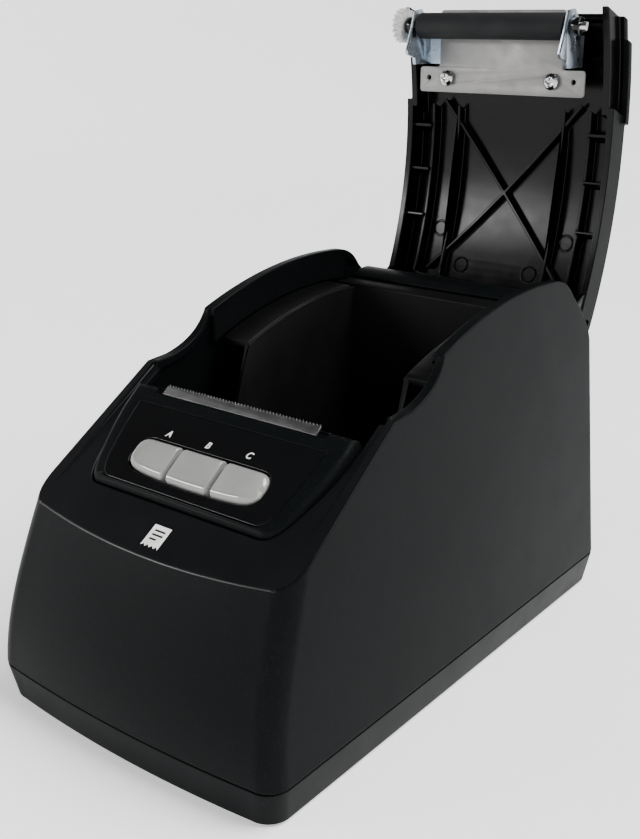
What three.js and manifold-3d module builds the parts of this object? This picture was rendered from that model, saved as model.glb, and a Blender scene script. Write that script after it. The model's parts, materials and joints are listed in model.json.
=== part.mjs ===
// Receipt printer for 58 mm paper rolls, standing with its lid open.
// Millimetres, +Z up, the front faces -Y. The lid turns about X and shuts when it turns forwards.
import * as THREE from "three";
import { mergeVertices } from "three/addons/utils/BufferGeometryUtils.js";
import Module from "manifold-3d";

const wasm = await Module();
wasm.setup();
const { degToRad } = THREE.MathUtils;

// ---------------------------------------------------------------- driving dimensions
const WIDTH = 110; // across the side walls at the foot line
const DEPTH = 185; // front bow to back wall at the foot line
const HEIGHT = 115.8; // crown of the shut lid
const FRONT = -95; // y of the front bow at the foot line
const BACK = FRONT + DEPTH;
const WALL = 2.5; // shell mouldings
const GAP = 0.3; // between pieces that touch on the real object
const FLATNESS = 0.01; // how far a simplified surface may stray
const FIT = 0.5; // round a piece that moves, or that drops into an opening
const ABOVE = HEIGHT + 20; // clear of everything, for cutters

const FOOT_LINE = 12; // where the base tray meets the shell
const FOOT_TAPER = 2;
const SIDE_LEAN = Math.tan(degToRad(5.08));
const FRONT_BOW = 2.5;
const FRONT_CORNER = 7;
const BACK_CORNER = 5;
const CORNER_STEPS = 4;

const KINK_Y = -73; // where the front corners run into the side panels' sloping edge
const KINK_Z = 66;
const EDGE_SLOPE = 0.667; // side panels' edge beside the deck
const DECK_SLOPE = 0.62;
const DECK_ANGLE = Math.atan(DECK_SLOPE);
const DECK_HALF = 45.5; // half width of the sunk deck between the side panels' edges
const ARC_START_Y = -38.5; // the sloping edge runs into the roof arc
const LID_TIP_Y = -37; // front edge of the shut lid

const CROWN_Y = BACK - 42; // highest point of the lid
const CROWN_DROP = HEIGHT - KINK_Z - (ARC_START_Y - KINK_Y) * EDGE_SLOPE;
const CROWN_RUN = CROWN_Y - ARC_START_Y;
const ARC_R = (CROWN_RUN ** 2 + CROWN_DROP ** 2) / (2 * CROWN_DROP);
const ARC_Z = HEIGHT - ARC_R;
const SHOULDER_Y = BACK - 28; // the roof arc ends and turns down to the back slope
const LID_END_Y = BACK - 16.5;
const LID_END_Z = HEIGHT - 6.2;
const SLOPE_TOP_Y = BACK - 15;
const SLOPE_TOP_Z = HEIGHT - 8.2;
const SLOPE_FOOT_Z = HEIGHT - 35.2;

const SCOOP_FRONT = -31; // finger scoops in both side panels
const SCOOP_BACK = -5.4;
const SCOOP_DEPTH = 5;
const SCOOP_LAND = 8; // flat stretch behind the front corner of the scoop

const HINGE_Y = BACK - 16.8;
const HINGE_Z = HEIGHT - 24.8;
const LID_OPEN = degToRad(110);
const PIN_R = 2;
const EAR_R = 4.6;
const EAR_T = 2.3;
const LID_HALF = 42; // half width of the lid between the side panels
const LID_SKIRT = 10; // depth of the lid's side walls
const SKIRT_INSET = 2; // the side walls stand in from the lid's edge along the finger wings
const WING_OUT = 1.4; // the finger wings stand this far out from the lid's edge
const WING_T = 2.6;
const RETURN_T = 2; // walls that hang down inside the side panels, next to the lid
const REAR_COVER_R = 16.6; // the fixed rear cover stays inside this radius of the hinge

const PAPER_HALF = 30.5; // half width of the paper bay
const BAY_T = 1.8;
const BAY_FRONT = -11;
const BAY_BACK = BACK - 34;
const BAY_FLOOR = 20;
const BAY_CORNER = 16; // how far the tub's lower corners sweep
const BAY_DROP = LID_SKIRT + 0.7; // the bay's rim below the roof line, clear of the lid's walls

const PLATEN_Y = -29; // platen axis with the lid shut
const PLATEN_Z = 74.4;
const PLATEN_R = 4.4;
const PLATEN_HALF = 28.6;
const SHAFT_R = 1.5;
const BEARING_R = 3;
const SHEET_T = 1.2;
const EAR_X = PLATEN_HALF + 0.8; // inner face of the zinc ears
const FRAME_X = EAR_X + 2 * SHEET_T; // inner face of the print frame's side plates
const FRAME_T = 1.6;
const GEAR_X = FRAME_X + 2.8; // near face of the three gears on the left
const GEAR_W = 3;
const TOOTH_MODULE = 0.6;
const ADDENDUM = 0.9; // in modules
const DEDENDUM = 1.1;
const TOOTH_FOOT = 0.3; // half a tooth at its root, in steps
const TOOTH_TIP = 0.12;
const PLATEN_TEETH = 18;
const REDUCTION_TEETH = 28;
const PINION_TEETH = 12;

const PLATE_Y = 6.5; // bracket plate behind the platen axis, lid open
const PLATE_TOP = 5.3;
const PLATE_NECK = -14.2;
const PLATE_FOOT = -23;
const PLATE_HALF = EAR_X - 4.9;
const TAB_HALF = FRAME_X + 1;
const SCREW_X = 21;
const SCREW_DROP = -18;
const SCREW_HEAD_R = 2.85;
const SCREW_R = 1.5;
const HEAD_EDGE = 0.9; // where the rounded top of a screw head meets its side
const HEAD_DEPTH = 1.9;
const BOSS_R = 3.4;

const POD_HALF = 42; // raised pod on the deck
const POD_LOW = 5;
const POD_HIGH = 38;
const POD_RISE = 2;
const POD_TILT = degToRad(4.5); // the pod's face is steeper than the deck
const POD_PIVOT_V = 17.25;
const POD_BEVEL = 1.8;
const LENS_HALF = 36;
const LENS_LOW = 7.6;
const LENS_HIGH = 34;
const LENS_T = 1.2;
const TEAR_HALF = PLATEN_HALF + 0.9;
const TEAR_LOW = 38.3;
const TEAR_HIGH = 42;
const TEAR_N = 1.2;
const TEAR_T = 0.8;
const TEAR_PITCH = 1.2;
const BLOCK_IN = 33; // inner side of the end blocks beside the tear bar

const BUTTON_HALF = 8;
const BUTTON_PITCH = 17;
const BUTTON_LOW = 11.5;
const BUTTON_HIGH = 23;
const BUTTON_RISE = 3.4;
const BUTTON_TRAVEL = 0.8;
const BOARD_T = 1.6;

const FLOOR_Z = 0.8; // underside of the base tray, on its rubber feet
const FLOOR_T = 2.2;
const FOOT_R = 5.5;
const FOOT_TOP = 1.8;
const FOOT_SPOTS = [-1, 1].flatMap((side) => [[side * 38, FRONT + 20], [side * 38, BACK - 18]]);

const POST_X = WIDTH / 2 - 8; // screw posts beside the walls
const POST_YS = [FRONT + 32, BACK - 34];
const POST_R = 3.8;
const POST_Z = FOOT_LINE + 2.5;
const POST_TOP = 42;
const SCREW_BITE = 11;
const BASE_HEAD_Z = 4.6; // top of the sunk screw heads
const BASE_SCREW_L = 20;

const DECK_END_Y = -40.5;
const EAR_X_IN = LID_HALF - WALL - 0.3; // inner face of the lid's hinge ears
const SLOT_FLOOR_Z = HINGE_Z - 7.1;
const PIN_PROFILE = [
  [0, EAR_X_IN - 1.8], [3, EAR_X_IN - 1.8], [3, EAR_X_IN - 0.6], [PIN_R, EAR_X_IN - 0.6],
  [PIN_R, LID_HALF + FIT + RETURN_T], [0, LID_HALF + FIT + RETURN_T],
];
const BAY_LIP_Z = 64;
const FLANGE_FRONT = SCOOP_BACK + 3.5;
const LID_EAR_FRONT = SHOULDER_Y - 8; // where the lid's side walls deepen into its hinge ears
const FLANGE_BACK = LID_EAR_FRONT - FIT;
const SENSOR_HALF = 4;
const SENSOR_L = 7;
const SENSOR_Y = 20;

const RIB_T = 1.2;
const RIB_X = 21.5;
const RIB_FRONT = -8;
const OUTER_RIB_X = 32;
const BRACE_X = 28;
const BRACE_FRONT = -10;
const BRACE_BACK = CROWN_Y + 4;
const CROSS_RIB_YS = [0, 15.5, 32.5];

const EAR_OUTLINE = [
  [1.6, 5.6], [-2.6, 5], [-4, 0], [-7.4, -8.4], [-6.6, -9.8], [-2.6, -10.8], [-2, -13.2], [4, -13.2], [4, 3],
];
const FRAME_BOX = { front: -43.7, back: -15.5, low: 51 };
const FRAME_LEGS = [[-29, -41], [29, -41], [-29, -18], [29, -18]];
const MECH_WALL_TOP = 73;
const MOTOR_Y = -25;
const MOTOR_Z = 61.3;
const MOTOR_R = 7.4;
const MOTOR_L = 17;
const REDUCTION_Y = -36.99;
const REDUCTION_Z = 61.1;
const HEAD_Y = -38;
const HEAD_T = 4;
const HEAD_LOW = 60;
const HEAD_TOP = 76.5;
const HEAD_FLOAT = 0.5; // travel of the sprung print head
const SPRING_Z = 69;
const SPRING_L = 2.6;
const WIRE_R = 0.3;
const SPRING_X = 18;
const SPRING_R = 1.9;
const SPRING_TURNS = 3;
const FIN_XS = [-18, -9, 0, 9, 18]; // cooling fins on the print head
const FIN_H = 5;
const RIBBON_HALF = 10;

const MAIN_BOARD_Z = 11.6;
const BOARD_HALF = 41;
const BOARD_FRONT = -50;
const BOARD_POSTS = [-1, 1].flatMap((side) => [[side * 36, BOARD_FRONT + 5], [side * 36, BACK - 26]]);
const JACK_Z = MAIN_BOARD_Z + BOARD_T + GAP;
const CHIPS = [ // left, front, width, length and height of the parts on the main board
  [-20, -10, 14, 14, 1.6], [10, -14, 10, 10, 1.4], [-24, 40, 12, 12, 3], [18, 30, 8, 12, 4],
];
const JACK_PROUD = 0.4; // how far the sockets stand out of the back wall
const LAN = { x: 22, w: 16, h: 13.5, depth: 20, mouth: 11 };
const USB = { x: 2, w: 12, h: 11, depth: 16, mouth: 9 };
const DC = { x: -16, w: 9, h: 11, depth: 14, mouth: 10, bore: 3.2 };
const ROCKER = { x: -30, z: 44, w: 13, h: 19 };
const BEZEL_LAP = 1.2; // the switch bezel's rim round its window
const BEZEL_WALL = 1.5;
const ROCKER_TILT = degToRad(9);

const POD_SINK = 4; // how far the pod reaches below the deck
const POD_FLOOR = -1;
const LENS_BED = 0.8;
const BLOCK_HIGH = 41;
const BUTTON_BASE = -2.6;
const PLUNGER_TOP = BUTTON_BASE - 1;
const BUTTON_BOARD_N = -8.4;
const POD_POSTS = [[-28, 22], [28, 22]];

// ---------------------------------------------------------------- solids from three.js geometry
function solidOf(geometry) {
  const bare = geometry.clone();
  bare.deleteAttribute("normal");
  bare.deleteAttribute("uv");
  const merged = mergeVertices(bare, 1e-3);
  return new wasm.Manifold(
    new wasm.Mesh({
      numProp: 3,
      vertProperties: new Float32Array(merged.attributes.position.array),
      triVerts: new Uint32Array(merged.index.array),
    }),
  );
}

function geometryOf(solid) {
  const mesh = solid.asOriginal().simplify(FLATNESS).getMesh();
  const points = new Float32Array(mesh.numVert * 3);
  for (let i = 0; i < mesh.numVert; i++) {
    points.set(mesh.vertProperties.subarray(i * mesh.numProp, i * mesh.numProp + 3), i * 3);
  }
  const shared = new THREE.BufferGeometry();
  shared.setAttribute("position", new THREE.BufferAttribute(points, 3));
  shared.setIndex(new THREE.BufferAttribute(mesh.triVerts, 1));
  const flat = shared.toNonIndexed();
  flat.computeVertexNormals();
  return flat;
}

function shapeOf(points) {
  return new THREE.Shape(points.map(([a, b]) => new THREE.Vector2(a, b)));
}

// Which way an outline's two axes and its thickness point, for a prism along each axis.
const PRISM_FRAMES = {
  x: new THREE.Matrix4().set(0, 0, 1, 0, 1, 0, 0, 0, 0, 1, 0, 0, 0, 0, 0, 1),
  y: new THREE.Matrix4().set(1, 0, 0, 0, 0, 0, -1, 0, 0, 1, 0, 0, 0, 0, 0, 1),
  z: new THREE.Matrix4(),
};

// A prism of an outline, given as (y, z) along x, as (x, z) along y and as (x, y) along z.
function prism(axis, outline, from, to, curveSegments = 8) {
  const shape = Array.isArray(outline) ? shapeOf(outline) : outline;
  const geometry = new THREE.ExtrudeGeometry(shape, {
    depth: to - from,
    bevelEnabled: false,
    curveSegments,
  });
  geometry.translate(0, 0, axis === "y" ? -to : from);
  geometry.applyMatrix4(PRISM_FRAMES[axis]);
  return solidOf(geometry);
}

function block(x0, x1, y0, y1, z0, z1) {
  const geometry = new THREE.BoxGeometry(x1 - x0, y1 - y0, z1 - z0);
  geometry.translate((x0 + x1) / 2, (y0 + y1) / 2, (z0 + z1) / 2);
  return solidOf(geometry);
}

// A turned piece: a (radius, height) profile about an axis through (a, b).
function turned(axis, profile, a, b, segments = 20) {
  const geometry = new THREE.LatheGeometry(
    profile.map(([r, h]) => new THREE.Vector2(r, h)),
    segments,
  );
  if (axis === "x") {
    geometry.rotateZ(-Math.PI / 2);
    geometry.translate(0, a, b);
  } else if (axis === "y") {
    geometry.translate(a, 0, b);
  } else {
    geometry.rotateX(Math.PI / 2);
    geometry.translate(a, b, 0);
  }
  return solidOf(geometry);
}

function rod(axis, radius, from, to, a, b, segments = 16) {
  return turned(axis, [[0, from], [radius, from], [radius, to], [0, to]], a, b, segments);
}

// An outline with rounded corners, from its corner points.
function rounded(corners, radius) {
  const shape = new THREE.Shape();
  corners.forEach(([x, y], i) => {
    const corner = new THREE.Vector2(x, y);
    const before = new THREE.Vector2(...corners.at(i - 1));
    const after = new THREE.Vector2(...corners[(i + 1) % corners.length]);
    const start = corner.clone().add(before.sub(corner).setLength(radius));
    const end = corner.clone().add(after.sub(corner).setLength(radius));
    if (i === 0) {
      shape.moveTo(start.x, start.y);
    } else {
      shape.lineTo(start.x, start.y);
    }
    shape.quadraticCurveTo(x, y, end.x, end.y);
  });
  shape.closePath();
  return shape;
}

function joined(solids) {
  return solids.reduce((sum, solid) => sum.add(solid));
}

function without(solid, cutters) {
  return cutters.reduce((rest, cutter) => rest.subtract(cutter), solid);
}

function bothSides(make) {
  return [make(-1), make(1)];
}

// A block given by its distances from the middle plane, on one side of it.
function sideBlock(side, near, far, y0, y1, z0, z1) {
  return block(Math.min(side * near, side * far), Math.max(side * near, side * far), y0, y1, z0, z1);
}

function sidePrism(side, outline, near, far, curveSegments) {
  return prism(
    "x", outline, Math.min(side * near, side * far), Math.max(side * near, side * far), curveSegments,
  );
}

// ---------------------------------------------------------------- outer form
function halfWidthAt(z) {
  if (z < FOOT_LINE) {
    return WIDTH / 2 - FOOT_TAPER * (1 - z / FOOT_LINE);
  }
  return WIDTH / 2 - (z - FOOT_LINE) * SIDE_LEAN;
}

// The front's middle line: in at the foot, upright, then leaning back towards the crease.
const FRONT_LEAN = new THREE.CubicBezierCurve(
  new THREE.Vector2(FRONT, FOOT_LINE),
  new THREE.Vector2(FRONT + 0.2, FOOT_LINE + 20),
  new THREE.Vector2(FRONT + 7.5, FOOT_LINE + 36),
  new THREE.Vector2(FRONT + 24, FOOT_LINE + 76),
);

// Horizontal sections of the outer form: a height and the front's y there.
function formLevels() {
  const leaning = FRONT_LEAN.getPoints(7).map((p) => ({ z: p.y, front: p.x }));
  const top = leaning.at(-1);
  return [
    { z: 0, front: FRONT + FOOT_TAPER },
    ...leaning,
    { z: HEIGHT + 6, front: top.front + (HEIGHT + 6 - top.z) * 0.5 },
  ];
}

function cornerArc(cx, cy, radius, from) {
  const points = [];
  for (let i = 0; i <= CORNER_STEPS; i++) {
    const angle = from + (i / CORNER_STEPS) * (Math.PI / 2);
    points.push([cx + radius * Math.cos(angle), cy + radius * Math.sin(angle)]);
  }
  return points;
}

// One section, drawn in by `inset`, anticlockwise from the front left corner.
function sectionOutline({ z, front }, inset) {
  const half = halfWidthAt(z) - inset;
  const back = (z < FOOT_LINE ? BACK - FOOT_TAPER * (1 - z / FOOT_LINE) : BACK) - inset;
  const bowEnd = half - FRONT_CORNER;
  const bowY = (x) => front + inset + FRONT_BOW * (x / bowEnd) ** 2;
  const bow = [-0.6, -0.3, 0, 0.3, 0.6].map((t) => [t * bowEnd, bowY(t * bowEnd)]);
  const cornerY = bowY(bowEnd) + FRONT_CORNER;
  return [
    ...cornerArc(-bowEnd, cornerY, FRONT_CORNER, Math.PI),
    ...bow,
    ...cornerArc(bowEnd, cornerY, FRONT_CORNER, 1.5 * Math.PI),
    ...cornerArc(half - BACK_CORNER, back - BACK_CORNER, BACK_CORNER, 0),
    ...cornerArc(BACK_CORNER - half, back - BACK_CORNER, BACK_CORNER, 0.5 * Math.PI),
  ];
}

// The closed skin through a list of sections with equal numbers of points.
function lofted(sections) {
  const count = sections[0].outline.length;
  const positions = sections.flatMap(({ z, outline }) => outline.flatMap(([x, y]) => [x, y, z]));
  const faces = [];
  for (let level = 0; level + 1 < sections.length; level++) {
    for (let i = 0; i < count; i++) {
      const a = level * count + i;
      const b = level * count + ((i + 1) % count);
      faces.push(a, b, b + count, a, b + count, a + count);
    }
  }
  const lid = (sections.length - 1) * count;
  for (let i = 1; i + 1 < count; i++) {
    faces.push(0, i + 1, i, lid, lid + i, lid + i + 1);
  }
  const geometry = new THREE.BufferGeometry();
  geometry.setAttribute("position", new THREE.Float32BufferAttribute(positions, 3));
  geometry.setIndex(faces);
  return solidOf(geometry);
}

function outerForm(inset = 0) {
  return lofted(formLevels().map((level) => ({ z: level.z, outline: sectionOutline(level, inset) })));
}

function arcAngle(y, radius = ARC_R) {
  return Math.acos((y - CROWN_Y) / radius);
}

function roofZ(y, drop = 0) {
  return ARC_Z + Math.sqrt((ARC_R - drop) ** 2 - (y - CROWN_Y) ** 2);
}

function edgeZ(y) {
  return KINK_Z + (y - KINK_Y) * (y < KINK_Y ? DECK_SLOPE : EDGE_SLOPE);
}

// The roof line from `start` back to the end of the lid, on an open path.
function followRoof(path, start) {
  path.absarc(CROWN_Y, ARC_Z, ARC_R, arcAngle(start), arcAngle(SHOULDER_Y), true);
  path.quadraticCurveTo(LID_END_Y - 4, roofZ(SHOULDER_Y) - 0.6, LID_END_Y, LID_END_Z);
}

// The back slope from the end of the lid down to the back wall.
function followBack(path) {
  path.lineTo(SLOPE_TOP_Y, SLOPE_TOP_Z);
  path.quadraticCurveTo(BACK - 3.2, HEIGHT - 18, BACK, SLOPE_FOOT_Z);
}

function scoopCurve(path, lift = 0) {
  const floor = roofZ(SCOOP_FRONT) + lift;
  const rise = roofZ(SCOOP_BACK) - SCOOP_DEPTH - floor;
  path.lineTo(SCOOP_FRONT + SCOOP_LAND, floor + 0.5);
  path.bezierCurveTo(
    SCOOP_FRONT + 2 * SCOOP_LAND, floor + 2,
    SCOOP_BACK - 3, floor + rise * 0.7,
    SCOOP_BACK, roofZ(SCOOP_BACK) + lift,
  );
}

// Everything below the side panels' top edge, as a (y, z) outline.
function sideOutline() {
  const low = -10;
  const path = new THREE.Shape();
  path.moveTo(FRONT - 10, low);
  path.lineTo(FRONT - 10, edgeZ(FRONT - 10));
  path.lineTo(KINK_Y, KINK_Z);
  path.lineTo(SCOOP_FRONT, roofZ(SCOOP_FRONT));
  scoopCurve(path);
  followRoof(path, SCOOP_BACK);
  followBack(path);
  path.lineTo(BACK + 10, SLOPE_FOOT_Z);
  path.lineTo(BACK + 10, low);
  path.closePath();
  return path;
}

// The lid's own outline as a band along the roof, `top` to `bottom` below the outer line.
function roofBand(from, to, top, bottom) {
  const path = new THREE.Shape();
  const outer = ARC_R - top;
  const inner = ARC_R - bottom;
  path.moveTo(from, ARC_Z + inner * Math.sin(arcAngle(from, inner)));
  path.absarc(CROWN_Y, ARC_Z, outer, arcAngle(from, outer), arcAngle(to, outer), true);
  path.absarc(CROWN_Y, ARC_Z, inner, arcAngle(to, inner), arcAngle(from, inner), false);
  path.closePath();
  return path;
}

// ---------------------------------------------------------------- body
// Everything above the deck's sloping surface, as a (y, z) outline.
function aboveDeck(sink, back) {
  const deckZ = (y) => KINK_Z + (y - KINK_Y) * DECK_SLOPE - sink;
  return [[FRONT - 20, deckZ(FRONT - 20)], [back, deckZ(back)], [back, ABOVE], [FRONT - 20, ABOVE]];
}

// The deck's own frame: x, up the slope, out of it.
const DECK_FRAME = new THREE.Matrix4()
  .makeTranslation(0, KINK_Y, KINK_Z)
  .multiply(new THREE.Matrix4().makeRotationX(DECK_ANGLE));

// The pod's frame is the deck's, tilted about a line across the pod's face.
const POD_FRAME = DECK_FRAME.clone()
  .multiply(new THREE.Matrix4().makeTranslation(0, POD_PIVOT_V, POD_RISE))
  .multiply(new THREE.Matrix4().makeRotationX(POD_TILT))
  .multiply(new THREE.Matrix4().makeTranslation(0, -POD_PIVOT_V, -POD_RISE));

function rearCoverBand() {
  const path = new THREE.Shape();
  const from = degToRad(70);
  const to = degToRad(118);
  path.absarc(HINGE_Y, HINGE_Z, REAR_COVER_R, from, to, false);
  path.absarc(HINGE_Y, HINGE_Z, REAR_COVER_R - WALL, to, from, true);
  path.closePath();
  return path;
}

function shellSkin() {
  const profile = prism("x", sideOutline(), -WIDTH, WIDTH, 9);
  const lowered = profile.translate([0, 0, -1.2 * WALL]).intersect(profile.translate([0, -1.2 * WALL, 0]));
  const deckBack = SCOOP_FRONT + 1;
  const skin = outerForm()
    .intersect(profile)
    .intersect(block(-WIDTH, WIDTH, FRONT - 20, BACK + 20, FOOT_LINE, ABOVE))
    .subtract(prism("x", aboveDeck(0, deckBack), -DECK_HALF, DECK_HALF));
  const hollow = outerForm(WALL)
    .intersect(lowered)
    .subtract(prism("x", aboveDeck(1.2 * WALL, deckBack + WALL), -DECK_HALF - WALL, DECK_HALF + WALL));
  return skin.subtract(hollow);
}

function lidOpening() {
  const swing = rod("x", REAR_COVER_R, -WIDTH, WIDTH, HINGE_Y, HINGE_Z, 48);
  const coverStart = SLOPE_TOP_Y + 1;
  const mouth = block(-LID_HALF - FIT, LID_HALF + FIT, DECK_END_Y, coverStart, KINK_Z, ABOVE);
  return mouth.subtract(swing);
}

function hingeCheek(side) {
  const disc = rod("x", EAR_R + 2, LID_HALF + FIT, LID_HALF + FIT + RETURN_T, HINGE_Y, HINGE_Z, 28);
  const web = block(
    LID_HALF + FIT, LID_HALF + FIT + RETURN_T,
    HINGE_Y - EAR_R - 2, HINGE_Y + EAR_R, HINGE_Z, HINGE_Z + 16,
  );
  const cheek = disc.add(web);
  return side > 0 ? cheek : cheek.mirror([1, 0, 0]);
}

function returnWall(side) {
  const band = roofBand(SCOOP_BACK + FIT, SHOULDER_Y + 4, WALL - 0.5, LID_SKIRT + 1);
  return sidePrism(side, band, LID_HALF + FIT, LID_HALF + FIT + RETURN_T, 16);
}

function scoopWell(side) {
  const inner = halfWidthAt(roofZ(SCOOP_BACK)) - WALL;
  return sideBlock(side, LID_HALF + FIT, inner, SCOOP_FRONT + GAP, SCOOP_BACK + GAP, KINK_Z, ABOVE);
}

function earSlot(side) {
  return sideBlock(side, EAR_X_IN - FIT, LID_HALF + FIT, HINGE_Y - 10, BACK + 10, SLOT_FLOOR_Z, ABOVE);
}

function screwPost(side, y) {
  const x = side * POST_X;
  const post = rod("z", POST_R, POST_Z, POST_TOP, x, y);
  const web = sideBlock(side, POST_X, halfWidthAt(POST_TOP) - WALL / 2, y - 1.5, y + 1.5, POST_Z, POST_TOP);
  return post.add(web).subtract(rod("z", SCREW_R + GAP, POST_Z - 1, POST_Z + SCREW_BITE, x, y));
}

function bodyShell() {
  const cheeks = bothSides(hingeCheek);
  const inside = outerForm(0.5)
    .intersect(prism("x", sideOutline(), -WIDTH, WIDTH, 9).translate([0, -0.6, -0.6]));
  const additions = joined([...cheeks, ...bothSides(returnWall)]).intersect(inside);
  const posts = POST_YS.flatMap((y) => bothSides((side) => screwPost(side, y)));
  const cover = prism("x", rearCoverBand(), FIT - EAR_X_IN, EAR_X_IN - FIT, 10).intersect(inside);
  const podHole = prism("z", podOutline(GAP), -POD_SINK - 3, 20).transform(POD_FRAME.elements);
  return without(joined([shellSkin(), additions, cover, ...posts]), [
    lidOpening(),
    podHole,
    ...bothSides(scoopWell),
    ...bothSides(earSlot),
    rod("x", PIN_R + GAP, -WIDTH, WIDTH, HINGE_Y, HINGE_Z).intersect(pinHoleZone()),
    ...rearWindows(),
  ]);
}

function pinHoleZone() {
  const reach = LID_HALF + FIT + RETURN_T + 1;
  return block(-reach, reach, HINGE_Y - 5, HINGE_Y + 5, HINGE_Z - 5, HINGE_Z + 5);
}

// Windows in the back wall, each a connector's outline with room round it.
function rearWindows() {
  const y0 = BACK - WALL - 1;
  const y1 = BACK + 1;
  const windows = [LAN, USB, DC].map(({ x, w, h }) =>
    block(x - w / 2 - FIT, x + w / 2 + FIT, y0, y1, JACK_Z - FIT, JACK_Z + h + FIT));
  const rocker = block(
    ROCKER.x - ROCKER.w / 2, ROCKER.x + ROCKER.w / 2, y0,
    y1, ROCKER.z - ROCKER.h / 2, ROCKER.z + ROCKER.h / 2,
  );
  return [...windows, rocker];
}

function baseTray() {
  const top = FOOT_LINE - GAP;
  const outside = outerForm().intersect(block(-WIDTH, WIDTH, FRONT - 5, BACK + 5, FLOOR_Z, top));
  const inside = outerForm(WALL).intersect(block(-WIDTH, WIDTH, FRONT, BACK, FLOOR_Z + FLOOR_T, top + 1));
  const bosses = [];
  const bores = [];
  for (const y of POST_YS) {
    for (const side of [-1, 1]) {
      bosses.push(rod("z", POST_R, FLOOR_Z + 1, POST_Z - GAP, side * POST_X, y));
      bores.push(rod("z", SCREW_R + GAP, -1, POST_Z + 1, side * POST_X, y));
      bores.push(rod("z", SCREW_HEAD_R + GAP, -1, BASE_HEAD_Z + GAP, side * POST_X, y));
    }
  }
  const standoffs = BOARD_POSTS.map(([x, y]) => rod("z", 2.5, FLOOR_Z + 1, MAIN_BOARD_Z - GAP, x, y, 12));
  const recesses = FOOT_SPOTS.map(([x, y]) => rod("z", FOOT_R + GAP, -1, FOOT_TOP + GAP, x, y));
  return without(outside.subtract(inside).add(joined([...bosses, ...standoffs])), [...bores, ...recesses]);
}

function rubberFoot([x, y]) {
  return turned(
    "z", [[0, 0], [FOOT_R - 0.5, 0], [FOOT_R, 0.5], [FOOT_R, FOOT_TOP], [0, FOOT_TOP]], x, y, 16,
  );
}

// A pan-head cross-recess screw, its head towards -axis: the head's outer face is at height 0.
function screwSolid(length) {
  const head = [[0, 0], [SCREW_HEAD_R * 0.6, 0], [SCREW_HEAD_R, HEAD_EDGE], [SCREW_HEAD_R, HEAD_DEPTH]];
  const body = turned("z", [...head, [SCREW_R, HEAD_DEPTH], [SCREW_R, length - 1], [0, length]], 0, 0, 12);
  const arm = (turn) => {
    const slot = new THREE.BoxGeometry(3, 0.7, 2.2);
    slot.rotateZ(turn);
    return solidOf(slot);
  };
  return without(body, [arm(0), arm(Math.PI / 2)]);
}

// ---------------------------------------------------------------- paper bay
function bayTub() {
  const shape = new THREE.Shape();
  shape.moveTo(BAY_FRONT, BAY_LIP_Z);
  shape.lineTo(BAY_FRONT, BAY_FLOOR + BAY_CORNER);
  shape.quadraticCurveTo(BAY_FRONT, BAY_FLOOR, BAY_FRONT + BAY_CORNER, BAY_FLOOR);
  shape.lineTo(BAY_BACK - BAY_CORNER, BAY_FLOOR);
  shape.quadraticCurveTo(BAY_BACK, BAY_FLOOR, BAY_BACK, BAY_FLOOR + BAY_CORNER);
  shape.lineTo(BAY_BACK, bayTopZ(BAY_BACK));
  shape.lineTo(BAY_BACK + BAY_T, bayTopZ(BAY_BACK));
  shape.lineTo(BAY_BACK + BAY_T, BAY_FLOOR + BAY_CORNER);
  shape.quadraticCurveTo(BAY_BACK + BAY_T, BAY_FLOOR - BAY_T, BAY_BACK - BAY_CORNER, BAY_FLOOR - BAY_T);
  shape.lineTo(BAY_FRONT + BAY_CORNER, BAY_FLOOR - BAY_T);
  shape.quadraticCurveTo(BAY_FRONT - BAY_T, BAY_FLOOR - BAY_T, BAY_FRONT - BAY_T, BAY_FLOOR + BAY_CORNER);
  shape.lineTo(BAY_FRONT - BAY_T, BAY_LIP_Z);
  shape.closePath();
  return prism("x", shape, -PAPER_HALF - BAY_T, PAPER_HALF + BAY_T, 8);
}

function bayTopZ(y) {
  return roofZ(y, BAY_DROP);
}

function baySide(side) {
  const path = new THREE.Shape();
  path.moveTo(BAY_FRONT - BAY_T, BAY_FLOOR + BAY_CORNER);
  path.quadraticCurveTo(BAY_FRONT - BAY_T, BAY_FLOOR - BAY_T, BAY_FRONT + BAY_CORNER, BAY_FLOOR - BAY_T);
  path.lineTo(BAY_BACK - BAY_CORNER, BAY_FLOOR - BAY_T);
  path.quadraticCurveTo(BAY_BACK + BAY_T, BAY_FLOOR - BAY_T, BAY_BACK + BAY_T, BAY_FLOOR + BAY_CORNER);
  const radius = ARC_R - BAY_DROP - 0.8;
  const angle = (y) => arcAngle(y, radius);
  path.lineTo(BAY_BACK + BAY_T, ARC_Z + radius * Math.sin(angle(BAY_BACK + BAY_T)));
  path.absarc(CROWN_Y, ARC_Z, radius, angle(BAY_BACK + BAY_T), angle(FLANGE_FRONT), false);
  path.lineTo(BAY_FRONT - BAY_T, BAY_LIP_Z);
  path.closePath();
  return sidePrism(side, path, PAPER_HALF, PAPER_HALF + BAY_T, 8);
}

function bayFlange(side) {
  const band = roofBand(FLANGE_FRONT, FLANGE_BACK, BAY_DROP, BAY_DROP + BAY_T);
  return sidePrism(side, band, PAPER_HALF + 0.2, LID_HALF - 0.1, 12);
}

function bayBackLedge() {
  const back = HINGE_Y - REAR_COVER_R * Math.sin(degToRad(28)) - 0.6;
  const z = bayTopZ(BAY_BACK);
  return block(GAP - EAR_X_IN, EAR_X_IN - GAP, BAY_BACK + 0.2, back, z - BAY_T, z);
}

function paperBay() {
  const bay = joined([bayTub(), ...bothSides(baySide), ...bothSides(bayFlange), bayBackLedge()]);
  const reach = SENSOR_HALF + GAP;
  const window = block(-reach, reach, SENSOR_Y - GAP, SENSOR_Y + SENSOR_L + GAP, 0, BAY_FLOOR + 1);
  return bay.subtract(window);
}

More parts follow.
